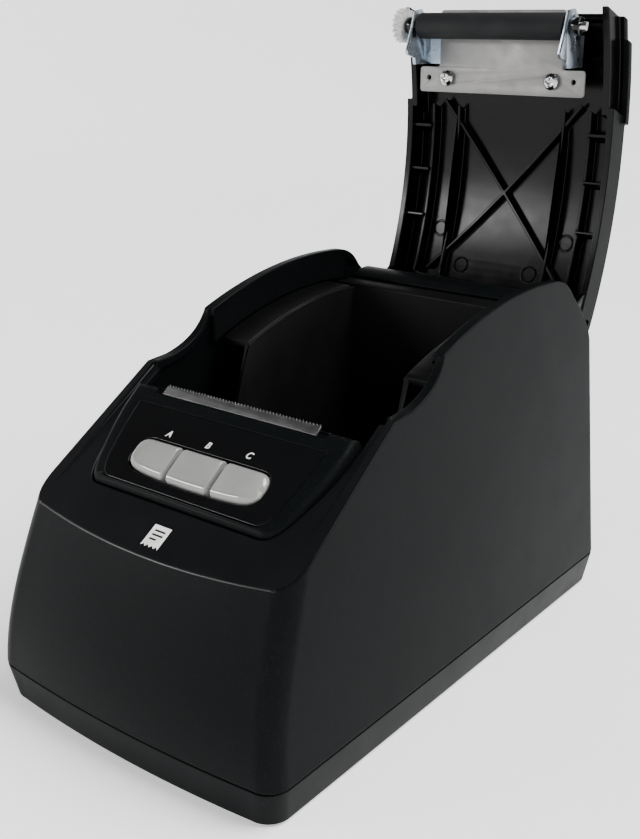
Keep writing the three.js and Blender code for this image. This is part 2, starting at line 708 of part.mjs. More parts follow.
function paperSensor() {
  const body = block(
    -SENSOR_HALF, SENSOR_HALF, SENSOR_Y, SENSOR_Y + SENSOR_L, BAY_FLOOR - 5, BAY_FLOOR - 0.5,
  );
  const window = block(-1.5, 1.5, SENSOR_Y + 1.5, SENSOR_Y + 4, BAY_FLOOR - 1.5, BAY_FLOOR);
  return body.subtract(window);
}

// ---------------------------------------------------------------- lid
// From the bracket's frame (platen axis at its origin, axes as the open lid stands) to the shut lid.
const BRACKET_TO_SHUT = new THREE.Matrix4()
  .makeTranslation(0, PLATEN_Y, PLATEN_Z)
  .multiply(new THREE.Matrix4().makeRotationX(LID_OPEN));

function lidEnvelope() {
  const path = new THREE.Shape();
  const low = KINK_Z - 10;
  path.moveTo(LID_TIP_Y, low);
  path.lineTo(LID_TIP_Y, roofZ(LID_TIP_Y));
  followRoof(path, LID_TIP_Y);
  path.lineTo(LID_END_Y - 2, LID_END_Z - 1.6);
  path.lineTo(LID_END_Y - 2, low);
  path.closePath();
  return path;
}

function lidRoof() {
  const path = new THREE.Shape();
  const inner = ARC_R - WALL;
  path.moveTo(LID_TIP_Y, roofZ(LID_TIP_Y));
  followRoof(path, LID_TIP_Y);
  path.lineTo(LID_END_Y - 2, LID_END_Z - 1.6);
  path.quadraticCurveTo(LID_END_Y - 5.5, roofZ(SHOULDER_Y, WALL) - 0.6, SHOULDER_Y, roofZ(SHOULDER_Y, WALL));
  path.absarc(CROWN_Y, ARC_Z, inner, arcAngle(SHOULDER_Y, inner), arcAngle(LID_TIP_Y, inner), false);
  path.closePath();
  return prism("x", path, -LID_HALF, LID_HALF, 14);
}

// Each side wall is flush with the lid's edge behind the scoop, and stands in from it beside the scoop.
function lidWall(side) {
  const grip = SCOOP_BACK - FIT;
  const flush = roofBand(grip - WALL, SHOULDER_Y, 1, LID_SKIRT);
  const inset = roofBand(LID_TIP_Y, grip, 1, LID_SKIRT);
  const near = LID_HALF - WALL;
  const besideEars = Math.max(near - SKIRT_INSET, EAR_X + SHEET_T + GAP);
  return sidePrism(side, flush, near, LID_HALF, 14).add(
    sidePrism(side, inset, besideEars, LID_HALF - SKIRT_INSET, 14),
  );
}

function lidEar(side) {
  const inner = EAR_X_IN;
  const outer = EAR_X_IN + EAR_T;
  const path = new THREE.Shape();
  path.moveTo(LID_EAR_FRONT, roofZ(SHOULDER_Y, LID_SKIRT));
  path.lineTo(HINGE_Y - EAR_R, HINGE_Z);
  path.absarc(HINGE_Y, HINGE_Z, EAR_R, Math.PI, 2 * Math.PI, false);
  path.lineTo(LID_END_Y - 2.2, LID_END_Z - 2);
  path.lineTo(LID_EAR_FRONT, roofZ(SHOULDER_Y, 1));
  path.closePath();
  const ear = sidePrism(side, path, inner, outer, 10)
    .intersect(prism("x", lidEnvelope(), -WIDTH, WIDTH, 14));
  return ear.subtract(rod("x", PIN_R + GAP, -WIDTH, WIDTH, HINGE_Y, HINGE_Z));
}

// The finger wing: a rim along the roof's edge that reaches over the scoop.
function lidWing(side) {
  const rim = roofBand(SCOOP_FRONT + FIT, SCOOP_BACK - FIT, 0, WING_T);
  return sidePrism(side, rim, LID_HALF - 1, LID_HALF + WING_OUT, 8);
}

function lidTipWall() {
  const half = LID_HALF - SKIRT_INSET - 1;
  return prism("x", roofBand(LID_TIP_Y, LID_TIP_Y + 1.8, 1, 4.5), -half, half, 2);
}

// A straight rib between two plan points, hanging `depth` from the roof.
function lidRib(x0, y0, x1, y1, depth) {
  const length = Math.hypot(x1 - x0, y1 - y0);
  const bar = new THREE.BoxGeometry(length, RIB_T, 100);
  bar.rotateZ(Math.atan2(y1 - y0, x1 - x0));
  bar.translate((x0 + x1) / 2, (y0 + y1) / 2, HEIGHT - 20);
  const layer = prism(
    "x", roofBand(LID_TIP_Y + 1, SHOULDER_Y - 0.5, WALL - 0.6, WALL + depth), -LID_HALF, LID_HALF, 14,
  );
  return solidOf(bar).intersect(layer);
}

function lidRibs() {
  const back = SHOULDER_Y - 8;
  const ribs = [];
  for (const side of [-1, 1]) {
    ribs.push(lidRib(side * RIB_X, RIB_FRONT, side * RIB_X, back, 3.5));
    ribs.push(lidRib(side * OUTER_RIB_X, RIB_FRONT, side * OUTER_RIB_X, back, 4.5));
    ribs.push(lidRib(side * -BRACE_X, BRACE_FRONT, side * BRACE_X, BRACE_BACK, 3));
    for (const y of CROSS_RIB_YS) {
      ribs.push(lidRib(side * OUTER_RIB_X, y, side * (LID_HALF - 1), y, 6));
    }
  }
  return ribs;
}

function bracketBoss(side) {
  const long = turned("y", [[0, 0], [BOSS_R, 0], [BOSS_R, 30], [0, 30]], 0, 0, 18);
  const bore = turned(
    "y", [[0, -1], [SCREW_R + GAP, -1], [SCREW_R + GAP, SCREW_BITE], [0, SCREW_BITE]], 0, 0, 14,
  );
  const boss = long.subtract(bore).translate([side * SCREW_X, PLATE_Y + SHEET_T + GAP, SCREW_DROP]);
  return boss.transform(BRACKET_TO_SHUT.elements)
    .intersect(prism("x", lidEnvelope(), -WIDTH, WIDTH, 14).translate([0, 0, -0.8]));
}

function lidShell() {
  return joined([
    lidRoof(),
    lidTipWall(),
    ...bothSides(lidWall),
    ...bothSides(lidEar),
    ...bothSides(lidWing),
    ...lidRibs(),
    ...bothSides(bracketBoss),
  ]);
}

// ---------------------------------------------------------------- platen and its bracket
function platenBracket() {
  const outline = rounded([
    [-TAB_HALF, PLATE_FOOT], [TAB_HALF, PLATE_FOOT], [TAB_HALF, PLATE_NECK], [PLATE_HALF, PLATE_NECK],
    [PLATE_HALF, PLATE_TOP], [-PLATE_HALF, PLATE_TOP], [-PLATE_HALF, PLATE_NECK], [-TAB_HALF, PLATE_NECK],
  ], 1.2);
  const plate = prism("y", outline, PLATE_Y, PLATE_Y + SHEET_T, 3);
  const holes = bothSides((side) => rod("y", SCREW_R + GAP, 0, 20, side * SCREW_X, SCREW_DROP, 14));
  const pinHoles = bothSides((side) => rod("y", 0.9, 0, 20, side * (TAB_HALF - 3.8), SCREW_DROP, 10));
  return without(plate, [...holes, ...pinHoles]);
}

function shaftEar(side) {
  const cheek = prism("x", EAR_OUTLINE, EAR_X, EAR_X + SHEET_T)
    .subtract(rod("x", SHAFT_R + GAP, 0, 50, 0, 0));
  const back = PLATE_Y + SHEET_T + GAP;
  const flange = block(PLATE_HALF - 3, EAR_X + SHEET_T, back, back + SHEET_T, PLATE_NECK + 1, -3);
  const ear = cheek.add(block(EAR_X, EAR_X + SHEET_T, 3, back + SHEET_T, PLATE_NECK + 1, -3)).add(flange);
  return side > 0 ? ear : ear.mirror([1, 0, 0]);
}

function platenShaft() {
  return rod("x", SHAFT_R, -GEAR_X - GEAR_W - 0.4, FRAME_X + FRAME_T + 2.6, 0, 0);
}

function platenRubber() {
  const r = PLATEN_R;
  const bore = SHAFT_R + GAP;
  const half = PLATEN_HALF;
  return turned("x", [
    [bore, -half], [r - 0.3, -half], [r, 0.3 - half],
    [r, half - 0.3], [r - 0.3, half], [bore, half], [bore, -half],
  ], 0, 0, 36);
}

function platenBearing(side) {
  const bore = SHAFT_R + GAP;
  const near = EAR_X + SHEET_T + GAP;
  const far = FRAME_X + FRAME_T + 0.5;
  const bearing = turned(
    "x", [[bore, near], [BEARING_R, near], [BEARING_R, far], [bore, far], [bore, near]], 0, 0, 24,
  );
  return side > 0 ? bearing : bearing.mirror([1, 0, 0]);
}

function gearShape(teeth, bore, phase) {
  const pitch = (TOOTH_MODULE * teeth) / 2;
  const tip = pitch + ADDENDUM * TOOTH_MODULE;
  const root = pitch - DEDENDUM * TOOTH_MODULE;
  const step = (2 * Math.PI) / teeth;
  const points = [];
  for (let i = 0; i < teeth; i++) {
    const middle = phase + i * step;
    const corners = [[root, -TOOTH_FOOT], [tip, -TOOTH_TIP], [tip, TOOTH_TIP], [root, TOOTH_FOOT]];
    for (const [radius, share] of corners) {
      points.push([radius * Math.cos(middle + share * step), radius * Math.sin(middle + share * step)]);
    }
  }
  const shape = shapeOf(points);
  const hole = new THREE.Path();
  hole.absarc(0, 0, bore, 0, 2 * Math.PI, true);
  shape.holes.push(hole);
  return shape;
}

function gear(teeth, bore, phase) {
  return prism("x", gearShape(teeth, bore, phase), -GEAR_X - GEAR_W, -GEAR_X, 8);
}

// ---------------------------------------------------------------- print mechanism
const pitchOf = (teeth) => (TOOTH_MODULE * teeth) / 2;
const MESH = pitchOf(REDUCTION_TEETH) + pitchOf(PINION_TEETH);
const MESH_ANGLE = Math.atan2(MOTOR_Z - REDUCTION_Z, MOTOR_Y - REDUCTION_Y);

function mechSide(side) {
  const { front, back, low } = FRAME_BOX;
  const plate = sidePrism(side, [
    [front, low], [back, low], [back, PLATEN_Z + 3], [PLATEN_Y - 5, PLATEN_Z + 3], [front, PLATEN_Z - 4],
  ], FRAME_X, FRAME_X + FRAME_T);
  const slotR = BEARING_R + FIT;
  const slot = sideBlock(
    side, FRAME_X - 1, FRAME_X + 3, PLATEN_Y - slotR, PLATEN_Y + slotR, PLATEN_Z, PLATEN_Z + 9,
  );
  const flare = sidePrism(side, [
    [PLATEN_Y - slotR, PLATEN_Z], [PLATEN_Y - slotR - 2.5, PLATEN_Z + 9], [PLATEN_Y, PLATEN_Z + 9],
  ], FRAME_X - 1, FRAME_X + 3);
  const seat = rod("x", slotR, side > 0 ? 30 : -36, side > 0 ? 36 : -30, PLATEN_Y, PLATEN_Z, 24);
  return without(plate, [slot, flare, seat]);
}

function mechFrame() {
  const { front, back, low } = FRAME_BOX;
  const reach = FRAME_X + FRAME_T;
  const bottom = block(-reach, reach, front, back, low, low + SHEET_T)
    .subtract(block(-RIBBON_HALF - 1, RIBBON_HALF + 1, HEAD_Y - 1, HEAD_Y + 3.5, low - 1, low + 3));
  const wall = block(-reach, reach, front, front + SHEET_T, low, MECH_WALL_TOP);
  const legs = FRAME_LEGS.map(([x, y]) => rod("z", 2.2, MAIN_BOARD_Z + BOARD_T + 2, low + 0.5, x, y, 12));
  const axle = rod("x", 1.2, -GEAR_X - GEAR_W - 0.6, -FRAME_X - 0.5, REDUCTION_Y, REDUCTION_Z, 14);
  const frame = joined([bottom, wall, ...bothSides(mechSide), ...legs, axle]);
  return frame.subtract(rod("x", 2, -FRAME_X - 4, 1 - FRAME_X, MOTOR_Y, MOTOR_Z, 16));
}

function printHead() {
  const plate = block(-PLATEN_HALF, PLATEN_HALF, HEAD_Y, HEAD_Y + HEAD_T, HEAD_LOW, HEAD_TOP);
  const fins = FIN_XS.map(
    (x) => block(x - 0.8, x + 0.8, HEAD_Y - 1.2, HEAD_Y + 0.5, HEAD_LOW, HEAD_LOW + FIN_H),
  );
  return joined([plate, ...fins]);
}

class Helix extends THREE.Curve {
  constructor(radius, length, turns) {
    super();
    Object.assign(this, { radius, length, turns });
  }
  getPoint(t, target = new THREE.Vector3()) {
    const angle = t * this.turns * 2 * Math.PI;
    return target.set(this.radius * Math.cos(angle), t * this.length, this.radius * Math.sin(angle));
  }
}

function coilSpring(x) {
  const wire = new THREE.Shape();
  wire.absarc(0, 0, WIRE_R, 0, 2 * Math.PI, false);
  const geometry = new THREE.ExtrudeGeometry(wire, {
    steps: 36,
    curveSegments: 3,
    bevelEnabled: false,
    extrudePath: new Helix(SPRING_R, SPRING_L, SPRING_TURNS),
  });
  geometry.translate(x, HEAD_Y - HEAD_FLOAT - WIRE_R - 0.1 - SPRING_L, SPRING_Z);
  return solidOf(geometry);
}

function stepMotor() {
  const can = rod("x", MOTOR_R, -FRAME_X + GAP, -FRAME_X + GAP + MOTOR_L, MOTOR_Y, MOTOR_Z, 28);
  const well = rod("x", 1.4, -FRAME_X - 1, 8 - FRAME_X, MOTOR_Y, MOTOR_Z, 14);
  return can.subtract(well);
}

function motorPinion() {
  const toothed = gear(PINION_TEETH, 0.6, MESH_ANGLE + Math.PI + Math.PI / PINION_TEETH);
  const shaft = rod("x", 1, -GEAR_X - GEAR_W - 0.5, 7 - FRAME_X, 0, 0, 14);
  return toothed.add(shaft);
}

function headRibbon() {
  return block(
    -RIBBON_HALF, RIBBON_HALF, HEAD_Y + 0.9, HEAD_Y + 1.5, MAIN_BOARD_Z + BOARD_T + 4.3, HEAD_LOW - GAP,
  );
}

function coverSwitch() {
  const x = FRAME_X + FRAME_T + GAP;
  const body = block(x, x + 3.4, FRAME_BOX.back - 9, FRAME_BOX.back - 1, PLATEN_Z - 13, PLATEN_Z - 6);
  return body.add(
    block(x + 1, x + 2.4, FRAME_BOX.back - 6, FRAME_BOX.back - 4, PLATEN_Z - 7, PLATEN_Z - 4.8),
  );
}

// ---------------------------------------------------------------- electronics
function mainBoard() {
  const top = MAIN_BOARD_Z + BOARD_T;
  const board = block(-BOARD_HALF, BOARD_HALF, BOARD_FRONT, BACK - WALL - 1.5, MAIN_BOARD_Z, top);
  const chips = CHIPS.map(([x, y, w, l, h]) => block(x, x + w, y, y + l, top - 0.2, top + h));
  const plug = block(-RIBBON_HALF - 1.5, RIBBON_HALF + 1.5, HEAD_Y - 1, HEAD_Y + 3.4, top - 0.2, top + 4);
  return joined([board, ...chips, plug]);
}

function jackBody({ x, w, h, depth }) {
  return block(x - w / 2, x + w / 2, BACK - depth, BACK + JACK_PROUD, JACK_Z, JACK_Z + h);
}

function lanJack() {
  const { x, w, h, mouth: deep } = LAN;
  const mouth = block(x - w / 2 + 1.8, x + w / 2 - 1.8, BACK - deep, BACK + 1, JACK_Z + 2.2, JACK_Z + h - 3);
  const latch = block(x - 3, x + 3, BACK - deep, BACK + 1, JACK_Z + h - 3.2, JACK_Z + h - 1.4);
  return jackBody(LAN).subtract(mouth.add(latch));
}

function usbJack() {
  const { x, w, h, mouth: deep } = USB;
  const mouth = block(
    x - w / 2 + 1.6, x + w / 2 - 1.6, BACK - deep, BACK + 1, JACK_Z + 1.5, JACK_Z + h - 1.5,
  );
  const tongue = block(x - 2.6, x + 2.6, BACK - deep - 0.5, BACK - 1.2, JACK_Z + 3.9, JACK_Z + h - 3.9);
  return jackBody(USB).subtract(mouth).add(tongue);
}

function powerJack() {
  const { x, h, bore, mouth: deep } = DC;
  const z = JACK_Z + h / 2;
  const barrel = rod("y", bore, BACK - deep, BACK + 1, x, z, 24);
  return jackBody(DC).subtract(barrel).add(rod("y", 1, BACK - deep - 1, BACK - 0.8, x, z, 14));
}

function switchBezel() {
  const { x, z, w, h } = ROCKER;
  const rim = block(
    x - w / 2 - BEZEL_LAP, x + w / 2 + BEZEL_LAP, BACK + GAP,
    BACK + 1.3, z - h / 2 - BEZEL_LAP, z + h / 2 + BEZEL_LAP,
  );
  const can = block(x - w / 2 + GAP, x + w / 2 - GAP, BACK - 14, BACK + 1, z - h / 2 + GAP, z + h / 2 - GAP);
  const well = block(
    x - w / 2 + BEZEL_WALL, x + w / 2 - BEZEL_WALL, BACK - 8,
    BACK + 3, z - h / 2 + BEZEL_WALL, z + h / 2 - BEZEL_WALL,
  );
  return rim.add(can).subtract(well);
}

// The rocker's pivot is at its origin. It stands with its lower half pressed in.
function powerRocker() {
  const { w, h } = ROCKER;
  const reach = h / 2 - BEZEL_WALL - FIT - 0.9;
  const face = new THREE.Shape();
  face.moveTo(-3, -2.4);
  face.lineTo(1.4, -reach);
  face.quadraticCurveTo(3.2, -reach * 0.4, 3, 0);
  face.quadraticCurveTo(3.2, reach * 0.4, 1.4, reach);
  face.lineTo(-3, 2.4);
  face.closePath();
  return prism("x", face, -w / 2 + BEZEL_WALL + FIT, w / 2 - BEZEL_WALL - FIT, 6);
}

// ---------------------------------------------------------------- control pod, in its own frame
function podOutline(grow = 0) {
  const half = POD_HALF + grow;
  const low = POD_LOW - grow;
  const foot = POD_HALF - 11;
  const path = new THREE.Shape();
  path.moveTo(-foot, low);
  path.lineTo(foot, low);
  path.bezierCurveTo(foot + 5, low, half - 4.5, low + 7, half - 2.4, low + 15);
  path.quadraticCurveTo(half, low + 24, half, POD_HIGH + grow);
  path.lineTo(half, BLOCK_HIGH + grow);
  path.lineTo(-half, BLOCK_HIGH + grow);
  path.lineTo(-half, POD_HIGH + grow);
  path.quadraticCurveTo(-half, low + 24, 2.4 - half, low + 15);
  path.bezierCurveTo(4.5 - half, low + 7, -foot - 5, low, -foot, low);
  return path;
}

function lensOutline(grow = 0) {
  const half = LENS_HALF + grow;
  const low = LENS_LOW - grow;
  const high = LENS_HIGH + grow;
  const foot = LENS_HALF - 8;
  const path = new THREE.Shape();
  path.moveTo(-foot, low);
  path.lineTo(foot, low);
  path.bezierCurveTo(foot + 4, low, half - 3, low + 6, half - 1.5, low + 14);
  path.lineTo(half, high);
  path.lineTo(-half, high);
  path.lineTo(1.5 - half, low + 14);
  path.bezierCurveTo(3 - half, low + 6, -foot - 4, low, -foot, low);
  return path;
}

function buttonRowOutline(grow = 0) {
  const half = BUTTON_PITCH + BUTTON_HALF + grow;
  const low = BUTTON_LOW - grow;
  const high = BUTTON_HIGH + grow;
  const path = new THREE.Shape();
  path.moveTo(4 - half, low + 1);
  path.quadraticCurveTo(0, low - 1.5, half - 4, low + 1);
  path.quadraticCurveTo(half, low + 1.6, half, low + 5.5);
  path.lineTo(half, high - 3);
  path.quadraticCurveTo(half, high, half - 3, high);
  path.lineTo(3 - half, high);
  path.quadraticCurveTo(-half, high, -half, high - 3);
  path.lineTo(-half, low + 5.5);
  path.quadraticCurveTo(-half, low + 1.6, 4 - half, low + 1);
  return path;
}

function bevelled(outline, from, to, bevel) {
  const geometry = new THREE.ExtrudeGeometry(outline, {
    depth: to - from - 2 * bevel,
    bevelEnabled: true,
    bevelThickness: bevel,
    bevelSize: bevel,
    bevelOffset: -bevel,
    bevelSegments: 2,
    curveSegments: 8,
  });
  geometry.translate(0, 0, from + bevel);
  return solidOf(geometry);
}

function frontFascia() {
  const pod = bevelled(podOutline(), -POD_SINK, POD_RISE, POD_BEVEL);
  const undercut = prism("z", podOutline(-WALL), -POD_SINK - 1, POD_FLOOR);
  const recess = prism("z", lensOutline(GAP), LENS_BED - GAP, POD_RISE + 1);
  const window = prism("z", buttonRowOutline(FIT), -POD_SINK - 1, POD_RISE + 1);
  const notch = block(-BLOCK_IN, BLOCK_IN, POD_HIGH, BLOCK_HIGH + 2, TEAR_N - GAP, POD_RISE + 1);
  const posts = POD_POSTS.map(
    ([x, v]) => rod("z", 1.6, BUTTON_BOARD_N + BOARD_T + GAP, POD_FLOOR + 0.4, x, v, 12),
  );
  return without(joined([pod.subtract(undercut), ...posts]), [recess, window, notch]);
}

function controlLens() {
  const lens = prism("z", lensOutline(), LENS_BED, LENS_BED + LENS_T);
  return lens.subtract(prism("z", buttonRowOutline(FIT), LENS_BED - 1, LENS_BED + LENS_T + 1));
}

function button(index) {
  const x = index * BUTTON_PITCH;
  const slice = block(x - BUTTON_HALF, x + BUTTON_HALF, 0, 40, BUTTON_BASE, BUTTON_RISE + 1);
  const cap = bevelled(buttonRowOutline(), BUTTON_BASE, BUTTON_RISE, 0.8).intersect(slice);
  const flange = block(x - 6, x + 6, BUTTON_LOW - 1.2, BUTTON_HIGH + 1.6, BUTTON_BASE, POD_FLOOR - GAP);
  return cap.add(flange);
}

function tearBar() {
  const points = [[TEAR_HALF, TEAR_LOW], [TEAR_HALF, TEAR_HIGH - 1]];
  const count = Math.floor((2 * TEAR_HALF) / TEAR_PITCH);
  const step = (2 * TEAR_HALF) / count;
  for (let i = 0; i < count; i++) {
    points.push([TEAR_HALF - (i + 0.5) * step, TEAR_HIGH]);
    points.push([TEAR_HALF - (i + 1) * step, TEAR_HIGH - 1]);
  }
  points.push([-TEAR_HALF, TEAR_LOW]);
  return prism("z", points, TEAR_N, TEAR_N + TEAR_T);
}

function buttonBoard() {
  return block(-30, 30, 8, 26, BUTTON_BOARD_N, BUTTON_BOARD_N + BOARD_T);
}

function tactSwitch(index) {
  const x = index * BUTTON_PITCH;
  const v = (BUTTON_LOW + BUTTON_HIGH) / 2;
  const base = BUTTON_BOARD_N + BOARD_T + GAP;
  return block(x - 3, x + 3, v - 3, v + 3, base, base + 2.4)
    .add(rod("z", 1.6, base + 2, PLUNGER_TOP, x, v, 16));
}

// ---------------------------------------------------------------- materials
function material(color, roughness, metalness = 0) {
  return new THREE.MeshStandardMaterial({ color, roughness, metalness });
}

const SATIN_BLACK = () => material(0x26292b, 0.5);
const BAY_BLACK = () => material(0x0c0c0d, 0.6);
const GLOSS_BLACK = () => material(0x060607, 0.12);
const SILVER_GREY = () => material(0xa8a8a2, 0.3);
const STEEL = () => material(0xa6a5a0, 0.4, 0.8);
const DARK_STEEL = () => material(0x5a5a5a, 0.4, 0.8);
const ZINC = () => material(0x93a3b0, 0.3, 0.9);
const CHROME = () => material(0xc8c8c8, 0.15, 1);
const RUBBER = () => material(0x333536, 0.8);
const GREY_PLASTIC = () => material(0xb4b4b0, 0.5);
const CIRCUIT_GREEN = () => material(0x1f5a34, 0.5);
const CERAMIC = () => material(0x8a8a84, 0.4);

// ---------------------------------------------------------------- assembly
function place(group, name, solid, finish) {
  const mesh = new THREE.Mesh(geometryOf(solid), finish());
  mesh.name = name;
  group.add(mesh);
  return mesh;
}

const printer = new THREE.Group();

// The open lid reaches furthest back where its turned roof arc bulges most: the printer's middle is at y 0.
const turnedArc = new THREE.Vector3(0, CROWN_Y - HINGE_Y, ARC_Z - HINGE_Z).applyAxisAngle(
  new THREE.Vector3(1, 0, 0),
  -LID_OPEN,
);
const reachBack = HINGE_Y + turnedArc.y + ARC_R;
printer.position.y = -(FRONT + reachBack) / 2;

place(printer, "body_shell", bodyShell(), SATIN_BLACK);
place(printer, "base_tray", baseTray(), SATIN_BLACK);
place(printer, "paper_bay", paperBay(), BAY_BLACK);
place(printer, "paper_sensor", paperSensor(), GLOSS_BLACK);
["front_left", "back_left", "front_right", "back_right"].forEach((corner, i) => {
  place(printer, `rubber_foot_${corner}`, rubberFoot(FOOT_SPOTS[i]), RUBBER);
});
for (const [i, y] of POST_YS.entries()) {
  for (const side of [-1, 1]) {
    const name = `base_screw_${i ? "back" : "front"}_${side < 0 ? "left" : "right"}`;
    const screw = place(printer, name, screwSolid(BASE_SCREW_L), CHROME);
    screw.position.set(side * POST_X, y, BASE_HEAD_Z - 1.9);
  }
}

const mechanism = new THREE.Group();
printer.add(mechanism);
place(mechanism, "print_frame", mechFrame(), STEEL);
place(mechanism, "print_head", printHead(), CERAMIC);
place(mechanism, "head_spring_left", coilSpring(-SPRING_X), CHROME);
place(mechanism, "head_spring_right", coilSpring(SPRING_X), CHROME);
place(mechanism, "step_motor", stepMotor(), ZINC);
place(mechanism, "motor_pinion", motorPinion(), GREY_PLASTIC).position.set(0, MOTOR_Y, MOTOR_Z);
place(mechanism, "reduction_gear", gear(REDUCTION_TEETH, 1.2 + GAP, MESH_ANGLE), GREY_PLASTIC).position.set(
  0,
  REDUCTION_Y,
  REDUCTION_Z,
);
place(mechanism, "head_ribbon", headRibbon(), GREY_PLASTIC);
place(mechanism, "cover_switch", coverSwitch(), GLOSS_BLACK);

const electronics = new THREE.Group();
printer.add(electronics);
place(electronics, "main_board", mainBoard(), CIRCUIT_GREEN);
place(electronics, "lan_jack", lanJack(), CHROME);
place(electronics, "usb_jack", usbJack(), CHROME);
place(electronics, "power_jack", powerJack(), GLOSS_BLACK);
place(electronics, "switch_bezel", switchBezel(), GLOSS_BLACK);
const rocker = place(electronics, "power_rocker", powerRocker(), GLOSS_BLACK);
rocker.position.set(ROCKER.x, BACK - 1.2, ROCKER.z);
rocker.rotation.x = -ROCKER_TILT;

const pod = new THREE.Group();
pod.applyMatrix4(POD_FRAME);
printer.add(pod);
place(pod, "front_fascia", frontFascia(), SATIN_BLACK);
place(pod, "control_lens", controlLens(), GLOSS_BLACK);
place(pod, "tear_bar", tearBar(), DARK_STEEL);
place(pod, "button_board", buttonBoard(), CIRCUIT_GREEN);
["a", "b", "c"].forEach((letter, i) => {
  place(pod, `button_${letter}`, button(i - 1), SILVER_GREY);
  place(pod, `tact_switch_${letter}`, tactSwitch(i - 1), GLOSS_BLACK);
});

for (const side of [-1, 1]) {
  const pin = turned("x", PIN_PROFILE, HINGE_Y, HINGE_Z, 20);
  place(printer, `hinge_pin_${side < 0 ? "left" : "right"}`, side > 0 ? pin : pin.mirror([1, 0, 0]), STEEL);
}

// The lid's own frame is the shut lid's; the hinge turns it open.
const lid = new THREE.Group();
lid.position.set(0, HINGE_Y, HINGE_Z);
lid.rotation.x = -LID_OPEN;
printer.add(lid);
const shutFrame = new THREE.Group();
shutFrame.position.set(0, -HINGE_Y, -HINGE_Z);
lid.add(shutFrame);
place(shutFrame, "lid_shell", lidShell(), SATIN_BLACK);

// The bracket's axes stand as the open lid does.
const bracket = new THREE.Group();
bracket.position.set(0, PLATEN_Y, PLATEN_Z);
bracket.rotation.x = LID_OPEN;
shutFrame.add(bracket);
place(bracket, "platen_bracket", platenBracket(), STEEL);
place(bracket, "platen_shaft", platenShaft(), CHROME);
place(bracket, "platen_rubber", platenRubber(), RUBBER);
place(bracket, "platen_gear", gear(PLATEN_TEETH, SHAFT_R + GAP, 0), GREY_PLASTIC);
for (const side of [-1, 1]) {
  const end = side < 0 ? "left" : "right";
  place(bracket, `shaft_ear_${end}`, shaftEar(side), ZINC);
  place(bracket, `platen_bearing_${end}`, platenBearing(side), GLOSS_BLACK);
  const screw = place(bracket, `bracket_screw_${end}`, screwSolid(11), CHROME);
  screw.position.set(side * SCREW_X, PLATE_Y - GAP - 1.9, SCREW_DROP);
  screw.rotation.x = -Math.PI / 2;
}

export default printer;
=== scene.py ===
import json
import math

import bmesh
import bpy
from mathutils import Matrix, Vector

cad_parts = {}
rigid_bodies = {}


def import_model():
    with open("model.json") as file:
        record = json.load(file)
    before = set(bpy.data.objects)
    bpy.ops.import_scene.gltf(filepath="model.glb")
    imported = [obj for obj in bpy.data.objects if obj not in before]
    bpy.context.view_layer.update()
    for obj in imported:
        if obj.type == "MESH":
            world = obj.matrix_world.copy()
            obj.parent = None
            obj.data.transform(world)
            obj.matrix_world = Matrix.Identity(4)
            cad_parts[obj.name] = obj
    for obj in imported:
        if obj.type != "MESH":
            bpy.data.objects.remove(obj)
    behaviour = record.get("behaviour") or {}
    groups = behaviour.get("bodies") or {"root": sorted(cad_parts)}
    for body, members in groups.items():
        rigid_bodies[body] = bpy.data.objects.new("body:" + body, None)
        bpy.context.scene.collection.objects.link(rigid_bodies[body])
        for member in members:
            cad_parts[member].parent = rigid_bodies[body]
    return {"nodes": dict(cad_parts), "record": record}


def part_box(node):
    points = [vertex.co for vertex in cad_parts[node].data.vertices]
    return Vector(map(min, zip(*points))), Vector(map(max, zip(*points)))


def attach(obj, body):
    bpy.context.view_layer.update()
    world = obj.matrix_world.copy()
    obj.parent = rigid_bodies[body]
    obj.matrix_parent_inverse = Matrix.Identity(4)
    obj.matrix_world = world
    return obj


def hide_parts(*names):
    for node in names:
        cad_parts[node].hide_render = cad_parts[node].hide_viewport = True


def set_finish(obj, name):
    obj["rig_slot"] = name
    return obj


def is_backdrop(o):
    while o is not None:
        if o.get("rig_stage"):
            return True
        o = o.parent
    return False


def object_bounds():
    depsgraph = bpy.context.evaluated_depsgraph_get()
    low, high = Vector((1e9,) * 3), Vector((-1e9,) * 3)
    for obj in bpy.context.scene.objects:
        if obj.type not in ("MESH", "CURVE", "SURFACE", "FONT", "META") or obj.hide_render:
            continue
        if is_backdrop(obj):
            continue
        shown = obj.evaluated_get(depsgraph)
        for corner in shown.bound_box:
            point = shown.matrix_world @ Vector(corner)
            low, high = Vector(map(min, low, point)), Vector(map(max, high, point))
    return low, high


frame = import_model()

# Receipt printer with its lid open. The body shell, base, pod, lens, buttons and lid are rebuilt here in
# fine mesh, in millimetres from the same driving sizes as the CAD, then scaled to metres and moved onto the
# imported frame. The letters and the receipt sign are made here only. The other CAD nodes stay.

MM = 0.001

# ------------------------------------------------------------------ driving dimensions, mm
shell_low, shell_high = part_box("body_shell")
WIDTH = (shell_high.x - shell_low.x) / MM
DEPTH = (shell_high.y - shell_low.y) / MM
HEIGHT = shell_high.z / MM
FRONT = -95.0
BACK = FRONT + DEPTH
SHIFT = Vector((0, shell_low.y - FRONT * MM, 0))
WALL = 2.5
SLOPE_WALL = 1.2 * WALL  # a sloping wall's thickness, measured upright or level
FIT = 0.5
FOOT_LINE = shell_low.z / MM
FOOT_TAPER = 2.0
FLOOR_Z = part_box("base_tray")[0].z / MM
SEAM = 0.3
FLOOR_T = 2.2
SIDE_LEAN = math.tan(math.radians(5.08))
FRONT_BOW = 2.5
FRONT_CORNER = 7.0
BACK_CORNER = 5.0
KINK_Y, KINK_Z = -73.0, 66.0
EDGE_SLOPE, DECK_SLOPE = 0.667, 0.62
DECK_ANGLE = math.atan(DECK_SLOPE)
DECK_HALF = 45.5
DECK_END_Y = -40.5
ARC_START_Y, LID_TIP_Y = -38.5, -37.0
CROWN_Y = BACK - 42
